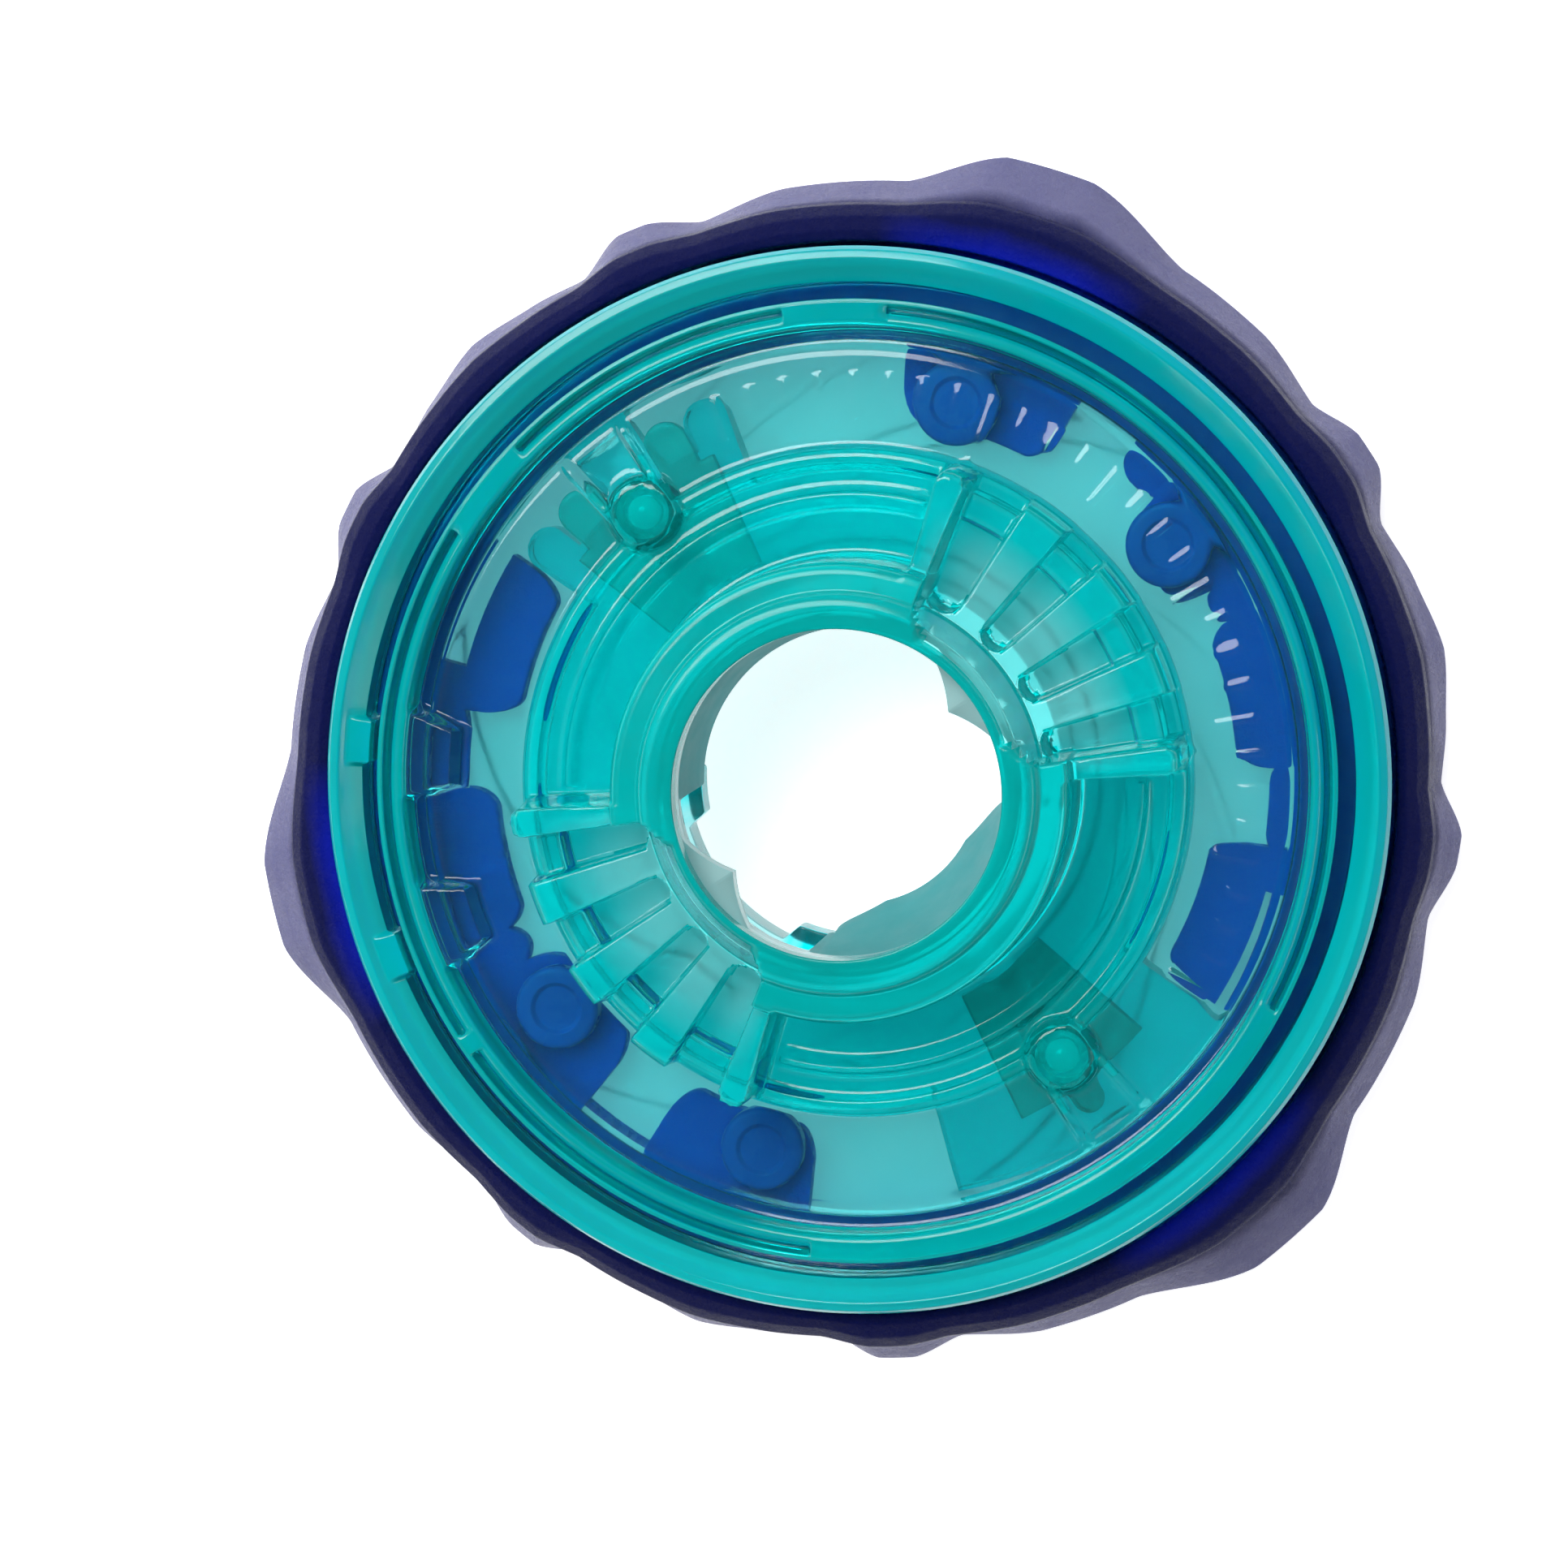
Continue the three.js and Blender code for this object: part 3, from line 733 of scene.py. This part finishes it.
def edge_radius(angles):
    """Radius of the blade ring's widest edge, smooth between the turning points."""
    folded = np.asarray(angles) % THIRD
    knots = np.array([knot for knot, _ in EDGE_PROFILE], float)
    values = np.array([value for _, value in EDGE_PROFILE], float)
    place = np.clip(np.searchsorted(knots, folded, side="right") - 1, 0, len(knots) - 2)
    t = (folded - knots[place]) / (knots[place + 1] - knots[place])
    eased = blend(t, smooth_step(t), EDGE_EASE)
    return values[place] + (values[place + 1] - values[place]) * eased


def tongue_edge(angles):
    """Inner radius of the web and its tongues, with round corners."""
    inner = np.full(len(angles), TONGUE_WEB_R)
    for start, end, radius in TONGUES:
        half = (end - start) / 2
        away = np.abs(turn_from(angles, start + half))
        to_edge = np.clip((half - away) / CORNER_SWEEP, 0.0, 1.0)
        round_corner = np.sqrt(1.0 - (1.0 - to_edge) ** 2)
        share = CORNER_START + (1.0 - CORNER_START) * round_corner
        depth = (TONGUE_WEB_R - radius) * np.where(away < half, share, 0.0)
        inner = np.minimum(inner, TONGUE_WEB_R - depth)
    return inner


def blade_ring():
    """Rolled lip, hollow under it, flared flank, and the thin web with its tongues."""
    edges = [edge for start, end, _ in TONGUES for edge in (start, end)]
    angles = full_circle(0.55, edges, 0.15, 0.7)
    swell = edge_radius(angles) - EDGE_BASE_R
    outline = rounded((
        (TONGUE_WEB_R, TONGUE_TOP, 0.2), (TONGUE_WEB_R, TONGUE_BOTTOM, 0.15),
        (26.3, TONGUE_BOTTOM, 0.05), (SOFT_INNER_R, 1.9, 0.05), (SOFT_INNER_R, 0.9, 0.1),
        (27.1, 0.5, 0.2), (28.2, 1.15, 0.3), (28.5, 2.1, 0.4), (28.2, 3.2, 0.3),
        (28.0, 4.3, 0.3), (27.8, 4.9, 0.25), (28.0, 5.5, 0.3), (27.85, 6.1, 0.3),
        (27.3, 6.7, 0.25), (26.8, 6.98, 0.15), (SOFT_INNER_R, 6.9, 0.12),
        (SOFT_INNER_R, 3.7, 0.05), (26.3, TONGUE_TOP, 0.05),
    ), steps=3)
    flat = outline[:, 0]
    base = outline[:, 1]
    share = 1.0 - UPPER_SHARE_LOST * np.clip((base - 2.4) / 2.4, 0.0, 1.0)
    reach = np.clip((flat - SOFT_INNER_R) / 1.0, 0.0, 1.0)
    radii = flat[None, :] + swell[:, None] * (share * reach)[None, :]
    on_web = flat < TONGUE_WEB_R + 0.4
    inner_shift = tongue_edge(angles) - TONGUE_WEB_R
    radii = radii + inner_shift[:, None] * on_web[None, :]
    piece = swept(
        "blade_ring_fine", radii, base, angles, "layer", ["blade_ring"],
    )
    arc_slots(piece, *TONGUE_SLIT, (0, HALF_TURN), TONGUE_BOTTOM - 0.5, TONGUE_TOP + 0.5)
    bore_holes(piece, PEG_CIRCLE_R, PEG_ANGLES, PEG_HOLE_R, TONGUE_BOTTOM - 0.5, TONGUE_TOP + 0.5)
    return piece


# ---------------------------------------------------------------- face shell

SHELL_BORE_R = 10.0
FACE_FLOOR = 0.55
BORDERS = ((10.6, 11.8), (24.0, 25.5))
SWIRL_PER_MM = 7.5
# (lead angle, half width, height) of each vane in a set
VANES = ((0.0, 1.6, 0.0), (38.0, 0.8, 0.2), (62.0, 0.8, 0.2))


def face_relief(radii, angles):
    """Height of the face's relief: two borders and three swirled sets of vanes stand proud."""
    radii = radii[None, :]
    angles = angles[:, None]
    z = np.full((angles.shape[0], radii.shape[1]), FACE_FLOOR)
    for inner, outer in BORDERS:
        z = blend(z, 0.0, between(radii, inner, outer, 0.4))
    swirl = angles + SWIRL_PER_MM * (radii - 12.0)
    for turn in (0.0, THIRD, 2 * THIRD):
        for lead, half_width, height in VANES:
            offset = np.abs(across(radii, swirl, turn + lead)) - half_width
            vane = inside(offset, 0.7) * between(radii, 12.8, 23.2, 0.7)
            z = blend(z, height, vane)
    return z


def top_shell():
    """Plate that closes the layer, with the relief of its face turned down."""
    angles = full_circle(0.8, (), 0.4, 0.1)
    face_radii = np.linspace(10.25, 25.55, 96)
    relief = face_relief(face_radii, angles)
    rest = rounded((
        (25.6, 0.5, 0), (SHELL_R, 0.75, 0.15), (SHELL_R, SHELL_TOP, 0.12),
        (SHELL_BORE_R, SHELL_TOP, 0.12), (SHELL_BORE_R, FACE_FLOOR, 0.15), (10.24, FACE_FLOOR, 0),
    ), closed=False)
    radii = np.concatenate([face_radii, rest[:, 0]])
    heights = np.concatenate(
        [relief, np.broadcast_to(rest[:, 1], (len(angles), len(rest)))], axis=1,
    )
    piece = swept("top_shell_fine", radii, heights, angles, "layer", ["top_shell"])
    bore_holes(piece, PIN_CIRCLE_R, PIN_ANGLES, PIN_HOLE_R, 0.6, SHELL_TOP + 0.5)
    bore_holes(piece, PEG_CIRCLE_R, PEG_ANGLES, PEG_HOLE_R, 0.9, SHELL_TOP + 0.5)
    return piece


# ---------------------------------------------------------------- materials

TRACK_MIDDLE = 38.5
BLADE_MIDDLE = 73.0
WEB_BLUE = (0.001, 0.11, 0.72)
LIP_DARK = (0.002, 0.004, 0.058)
# painted light: the lip's bright blue stands for light shining through its thin rubber at the big
# bumps
LIP_BACKLIT = (0.002, 0.008, 0.30)
# painted light: the foot's lavender tones stand for light through its thin flared rubber and its
# sheen at grazing angles
FOOT_DARK = (0.095, 0.098, 0.235)
FOOT_PALE = (0.165, 0.165, 0.295)
CLEAR_ROUGH = (0.03, 0.1)
CLEAR_GRAIN = 0.008
LOW_GLOSS = 0.15
PLASTIC_IOR = 1.4


def start_material(name):
    """New Principled material, with its object coordinates."""
    material = bpy.data.materials.new(name)
    material.use_nodes = True
    tree = material.node_tree
    tree.nodes.clear()
    output = tree.nodes.new("ShaderNodeOutputMaterial")
    shader = tree.nodes.new("ShaderNodeBsdfPrincipled")
    tree.links.new(shader.outputs["BSDF"], output.inputs["Surface"])
    coordinates = tree.nodes.new("ShaderNodeTexCoord")
    return material, tree, shader, coordinates.outputs["Object"]


def noise(tree, where, scale, detail=3.0, roughness=0.5):
    """Noise from 0 to 1, at a scale per metre."""
    node = tree.nodes.new("ShaderNodeTexNoise")
    node.inputs["Scale"].default_value = scale
    node.inputs["Detail"].default_value = detail
    node.inputs["Roughness"].default_value = roughness
    tree.links.new(where, node.inputs["Vector"])
    return node.outputs["Fac"]


def between_colours(tree, share, first, second):
    """Goes from the first colour to the second; each is a tuple or a socket."""
    node = tree.nodes.new("ShaderNodeMix")
    node.data_type = "RGBA"
    tree.links.new(share, node.inputs["Factor"])
    for index, colour in ((6, first), (7, second)):
        if isinstance(colour, tuple):
            node.inputs[index].default_value = (*colour, 1.0)
        else:
            tree.links.new(colour, node.inputs[index])
    return node.outputs[2]


def spread(tree, value, low, high, to_low, to_high):
    """Maps low..high to to_low..to_high, and stays within them."""
    node = tree.nodes.new("ShaderNodeMapRange")
    node.inputs["From Min"].default_value = low
    node.inputs["From Max"].default_value = high
    node.inputs["To Min"].default_value = to_low
    node.inputs["To Max"].default_value = to_high
    tree.links.new(value, node.inputs["Value"])
    return node.outputs["Result"]


def bump(tree, shader, height, strength, distance):
    """Roughens a shader's normals by a height, over a distance in millimetres."""
    node = tree.nodes.new("ShaderNodeBump")
    node.inputs["Strength"].default_value = strength
    node.inputs["Distance"].default_value = distance * MM
    tree.links.new(height, node.inputs["Height"])
    tree.links.new(node.outputs["Normal"], shader.inputs["Normal"])


def calculate(tree, operation, first, second=None, third=None):
    """One maths step of a shader, on sockets or numbers."""
    node = tree.nodes.new("ShaderNodeMath")
    node.operation = operation
    for index, value in enumerate((first, second, third)):
        if isinstance(value, (int, float)):
            node.inputs[index].default_value = value
        elif value is not None:
            tree.links.new(value, node.inputs[index])
    return node.outputs["Value"]


def around_axis(tree, where):
    """Radius, angle and height of a point, in metres and radians."""
    split = tree.nodes.new("ShaderNodeSeparateXYZ")
    tree.links.new(where, split.inputs["Vector"])
    x, y, z = (split.outputs[axis] for axis in "XYZ")
    x_squared = calculate(tree, "MULTIPLY", x, x)
    radius = calculate(tree, "SQRT", calculate(tree, "MULTIPLY_ADD", y, y, x_squared))
    return radius, calculate(tree, "ARCTAN2", y, x), z


def lobes(tree, turn, count, centre):
    """Cosine with a number of peaks in a turn, one of them at centre."""
    phase = calculate(tree, "MULTIPLY_ADD", turn, float(count), -math.radians(count * centre))
    return calculate(tree, "COSINE", phase)


def track_glow(tree, where, colour, pale):
    """Painted light: the colour goes over to a paler one inside the two tooth tracks, standing in
    for light shining through their thin walls.
    """
    radius, turn, _ = around_axis(tree, where)
    lobe = lobes(tree, turn, 2, TRACK_MIDDLE)
    on_track = spread(tree, lobe, 0.4, 0.65, 0.0, 1.0)
    within = spread(tree, radius, 12.4 * MM, 14.6 * MM, 1.0, 0.0)
    return between_colours(tree, calculate(tree, "MULTIPLY", on_track, within), colour, pale)


def plastic(name, thin, deep, transmission, rough, grain, gloss=0.25, pale=None):
    """Dyed moulded plastic, with a slightly clouded dye, faint flow grain and worn gloss."""
    material, tree, shader, where = start_material(name)
    clouds = spread(tree, noise(tree, where, 140.0), 0.35, 0.65, 0.0, 1.0)
    colour = between_colours(tree, clouds, thin, deep)
    # painted light: a paler colour inside the tooth tracks, for light through their thin walls
    if pale:
        colour = track_glow(tree, where, colour, pale)
    tree.links.new(colour, shader.inputs["Base Color"])
    smears = noise(tree, where, 700.0, 5.0, 0.6)
    tree.links.new(spread(tree, smears, 0.3, 0.7, rough[0], rough[1]), shader.inputs["Roughness"])
    bump(tree, shader, noise(tree, where, 2600.0, 4.0, 0.6), 0.25, grain)
    shader.inputs["IOR"].default_value = PLASTIC_IOR
    shader.inputs["Specular IOR Level"].default_value = gloss
    shader.inputs["Transmission Weight"].default_value = transmission
    return material


def soft_rubber(name):
    """Indigo rubber: blue web and near-black lip; painted light gives the lip bright blue patches
    at the big bumps and the flared foot its pale lavender, for light through thin rubber and its
    sheen.
    """
    material, tree, shader, where = start_material(name)
    radius, turn, z = around_axis(tree, where)
    lobe = lobes(tree, turn, 3, BLADE_MIDDLE)
    wobble = noise(tree, where, 260.0)
    rough_radius = calculate(tree, "MULTIPLY_ADD", wobble, 0.9 * MM, radius)
    flared = spread(tree, rough_radius, 28.4 * MM, 29.0 * MM, 0.0, 1.0)
    rough_height = calculate(tree, "MULTIPLY_ADD", wobble, 0.8 * MM, z)
    low = spread(tree, rough_height, 4.4 * MM, 5.2 * MM, 1.0, 0.0)
    foot = calculate(tree, "MULTIPLY", flared, low)
    near_rim = spread(tree, rough_radius, 27.1 * MM, 28.3 * MM, 1.0, 0.0)
    # painted light: bright blue patches on the lip near the rim at the three big bumps, for light
    # shining through the thin rubber there
    backlit = calculate(tree, "MULTIPLY", spread(tree, lobe, 0.72, 0.95, 0.0, 1.0), near_rim)
    lip = between_colours(tree, backlit, LIP_DARK, LIP_BACKLIT)
    # painted light on the flared foot: pale lavender for light through the thin rubber and its
    # grazing sheen, two tones mixed at random
    painted_foot_light = between_colours(tree, noise(tree, where, 420.0), FOOT_DARK, FOOT_PALE)
    flank = between_colours(tree, foot, lip, painted_foot_light)
    outward = spread(tree, radius, 25.2 * MM, 26.4 * MM, 0.0, 1.0)
    colour = between_colours(tree, outward, WEB_BLUE, flank)
    tree.links.new(colour, shader.inputs["Base Color"])
    grain = noise(tree, where, 900.0, 8.0, 0.75)
    tree.links.new(spread(tree, grain, 0.3, 0.7, 0.14, 0.42), shader.inputs["Roughness"])
    bump(tree, shader, grain, 1.0, 0.2)
    shader.inputs["Specular IOR Level"].default_value = 0.06
    shader.inputs["Subsurface Weight"].default_value = 0.2
    shader.inputs["Subsurface Radius"].default_value = (0.3, 0.5, 1.0)
    shader.inputs["Subsurface Scale"].default_value = 0.8 * MM
    return material


def give(piece, material):
    """Makes a material the only one of a piece."""
    piece.data.materials.clear()
    piece.data.materials.append(material)


def give_where(piece, material, chosen):
    """Adds a material for the faces chosen by radius, height (mm) and upward normal."""
    piece.data.materials.append(material)
    index = len(piece.data.materials) - 1
    for face in piece.data.polygons:
        x, y, z = face.center / MM
        if chosen(math.hypot(x, y), z, face.normal.z):
            face.material_index = index


# ---------------------------------------------------------------- making the pieces

# where the cover's colours change: radii, heights and the upward part of a steep normal
HUB_REGION_R = 16.3
TRACK_REGION_R = 19.2
COLLAR_REGION_R = 11.1
COLLAR_REGION_Z = 13.15
GROOVE_REGION_R = (22.9, 23.35)
STEEP = 0.6

floor_clear = plastic(
    "floor_clear", (0.22, 0.87, 0.88), (0.19, 0.85, 0.86), 0.98, CLEAR_ROUGH, CLEAR_GRAIN,
    LOW_GLOSS,
)
# clear_teal and bright_teal turn paler inside the tooth tracks: painted light through the thin
# walls
clear_teal = plastic(
    "clear_teal", (0.0, 0.90, 0.86), (0.0, 0.85, 0.82), 0.86, CLEAR_ROUGH, CLEAR_GRAIN,
    LOW_GLOSS, pale=(0.36, 0.98, 0.98),
)
# darker teal used as painted shade on steep walls and in slots
shaded_wall_teal = plastic(
    "shaded_wall_teal", (0.0, 0.66, 0.62), (0.0, 0.60, 0.57), 0.8, CLEAR_ROUGH, CLEAR_GRAIN, LOW_GLOSS,
)
band_teal = plastic(
    "band_teal", (0.0, 0.72, 0.68), (0.0, 0.66, 0.63), 0.6, (0.04, 0.12), 0.01, LOW_GLOSS,
)
rim_teal = plastic(
    "rim_teal", (0.0, 0.84, 0.85), (0.0, 0.78, 0.80), 0.62, (0.05, 0.14), 0.01, 0.2,
)
bright_teal = plastic(
    "bright_teal", (0.0, 0.96, 1.0), (0.0, 0.92, 0.97), 0.92, (0.15, 0.25), 0.01,
    pale=(0.55, 0.97, 0.98),
)
deep_teal = plastic("deep_teal", (0.0, 0.80, 0.76), (0.0, 0.74, 0.70), 0.78, (0.15, 0.25), 0.01)
pale_clear = plastic("pale_clear", (0.58, 0.89, 0.90), (0.52, 0.86, 0.87), 0.5, (0.12, 0.2), 0.003)
collar_teal = plastic(
    "collar_teal", (0.0, 0.46, 0.44), (0.0, 0.42, 0.40), 0.45, (0.12, 0.2), 0.01, gloss=0.1,
)
skirt_teal = plastic("skirt_teal", (0.06, 0.41, 0.43), (0.05, 0.37, 0.39), 0.3, (0.5, 0.65), 0.003)
frosted_shell = plastic(
    "frosted_shell", (0.86, 0.88, 0.90), (0.80, 0.84, 0.86), 0.6, (0.3, 0.45), 0.02,
)
deep_blue = plastic("deep_blue", (0.002, 0.10, 0.55), (0.002, 0.08, 0.48), 0.0, (0.2, 0.35), 0.01)
indigo_soft = soft_rubber("indigo_soft")

cover = base_cover()
give(cover, floor_clear)
give_where(
    cover, clear_teal,
    lambda r, z, up: z > 6.1 and (r < HUB_REGION_R or (r < TRACK_REGION_R and z > 7.35)),
)
# painted shade: steep walls in the hub and tracks take a darker teal, drawing dark outlines
give_where(
    cover, shaded_wall_teal, lambda r, z, up: 9.6 < r < TRACK_REGION_R and z > 7.3 and abs(up) < STEEP,
)
give_where(cover, band_teal, lambda r, z, up: r > BAND_INNER_R and z > 6.6)
give_where(cover, collar_teal, lambda r, z, up: r < COLLAR_REGION_R and z > COLLAR_REGION_Z)
# painted shade: the band's slots take the darker teal
give_where(
    cover, shaded_wall_teal,
    lambda r, z, up: GROOVE_REGION_R[0] < r < GROOVE_REGION_R[1] and 7.3 < z < 8.25,
)
ring = rim_ring()
give(ring, floor_clear)
give_where(ring, rim_teal, lambda r, z, up: r > 24.6 or z > 7.8)
give(ring_keeper(), deep_blue)
give(core_body(), bright_teal)
give(latch_plate(1, 128.0, ((-8.2, 3.3, 20.2), (8.2, 3.3, 20.2)), 14.0, 17.6), deep_teal)
give(latch_plate(2, 308.0, ((-1.2, 2.6, 20.2),), 11.5, 18.6), deep_teal)
sleeve = lock_ring()
give(sleeve, pale_clear)
give_where(sleeve, skirt_teal, lambda r, z, up: z < 10.6)
for pin_number, pin_angle in enumerate(PIN_ANGLES, 1):
    give(press_pin(pin_number, pin_angle), pale_clear)
for peg_number, peg_angle in enumerate(PEG_ANGLES, 1):
    give(anchor_peg(peg_number, peg_angle), deep_blue)
give(blade_ring(), indigo_soft)
give(top_shell(), frosted_shell)


# ---------------------------------------------------------------- stage, lights and camera

FLOOR_HALF_SIZE = 0.6
FLOOR_GLOW = 0.75
LIGHT_TARGET = (0.0, 0.0, 0.006)
WORLD_STRENGTH = 0.32
WORLD_LEVELS = ((0.0, 0.30), (0.28, 0.42), (0.50, 1.0), (0.86, 1.0), (0.95, 0.12))


def pale_floor():
    """White sheet that glows a little, like a light table."""
    shape = bmesh.new()
    bmesh.ops.create_grid(shape, x_segments=8, y_segments=8, size=FLOOR_HALF_SIZE)
    mesh = bpy.data.meshes.new("pale_floor")
    shape.to_mesh(mesh)
    shape.free()
    floor = bpy.data.objects.new("pale_floor", mesh)
    floor.location.z = -0.02 * MM
    bpy.context.scene.collection.objects.link(floor)
    material, tree, shader, where = start_material("floor_paper")
    tint = between_colours(tree, noise(tree, where, 30.0), (0.90, 0.90, 0.90), (0.93, 0.93, 0.93))
    tree.links.new(tint, shader.inputs["Base Color"])
    shader.inputs["Roughness"].default_value = 0.8
    shader.inputs["Specular IOR Level"].default_value = 0.1
    shader.inputs["Emission Color"].default_value = (1.0, 1.0, 1.0, 1.0)
    shader.inputs["Emission Strength"].default_value = FLOOR_GLOW
    give(floor, material)


def aim(item, place, target, up=(0.0, 1.0, 0.0)):
    """Puts an object at a place in metres, looking at a target, with up towards the top."""
    forward = (Vector(target) - Vector(place)).normalized()
    right = forward.cross(Vector(up)).normalized()
    upward = right.cross(forward)
    turned = Matrix((right, upward, -forward)).transposed().to_4x4()
    item.matrix_world = Matrix.Translation(Vector(place)) @ turned


def area_light(name, place, size, power):
    """White lamp of a width and height in metres, turned towards the part."""
    light = bpy.data.lights.new(name, "AREA")
    light.shape = "RECTANGLE"
    light.size, light.size_y = size
    light.energy = power
    item = bpy.data.objects.new(name, light)
    bpy.context.scene.collection.objects.link(item)
    aim(item, place, LIGHT_TARGET)


def studio_world():
    """Soft light tent: open and dark overhead, bright round its shoulder, dim at its foot."""
    world = bpy.data.worlds.new("studio")
    world.use_nodes = True
    tree = world.node_tree
    background = tree.nodes["Background"]
    where = tree.nodes.new("ShaderNodeTexCoord").outputs["Generated"]
    split = tree.nodes.new("ShaderNodeSeparateXYZ")
    tree.links.new(where, split.inputs["Vector"])
    ramp = tree.nodes.new("ShaderNodeValToRGB")
    tree.links.new(split.outputs["Z"], ramp.inputs["Fac"])
    ramp.color_ramp.elements[0].position = WORLD_LEVELS[0][0]
    ramp.color_ramp.elements[1].position = WORLD_LEVELS[-1][0]
    for place, _ in WORLD_LEVELS[1:-1]:
        ramp.color_ramp.elements.new(place)
    for element, (_, level) in zip(ramp.color_ramp.elements, WORLD_LEVELS, strict=True):
        element.color = (level, level, level, 1.0)
    tree.links.new(ramp.outputs["Color"], background.inputs["Color"])
    background.inputs["Strength"].default_value = WORLD_STRENGTH
    bpy.context.scene.world = world


pale_floor()
area_light("overhead_softbox", (-0.16, 0.20, 0.42), (0.32, 0.26), 2.9)
area_light("side_strip", (0.34, -0.10, 0.20), (0.06, 0.24), 0.2)
area_light("back_strip", (-0.30, -0.20, 0.16), (0.06, 0.22), 0.15)
studio_world()
bpy.context.scene.view_settings.view_transform = "Standard"

VIEW_AZIMUTH = 35.0
VIEW_TILT = 8.8
VIEW_DISTANCE = 200.0
FRAME_WIDTH = 76.3
AIM = (-3.18, 0.08, RIM_TOP)

camera = bpy.data.cameras.new("camera")
camera.sensor_width = 36.0
camera.lens = camera.sensor_width / FRAME_WIDTH * VIEW_DISTANCE
camera.clip_start = 0.01
camera_item = bpy.data.objects.new("camera", camera)
bpy.context.scene.collection.objects.link(camera_item)
tilt = math.radians(VIEW_TILT)
side = polar(VIEW_DISTANCE * math.sin(tilt), VIEW_AZIMUTH)
eye = Vector((*side, RIM_TOP + VIEW_DISTANCE * math.cos(tilt)))
aim(camera_item, eye * MM, Vector(AIM) * MM)
bpy.context.scene.camera = camera_item
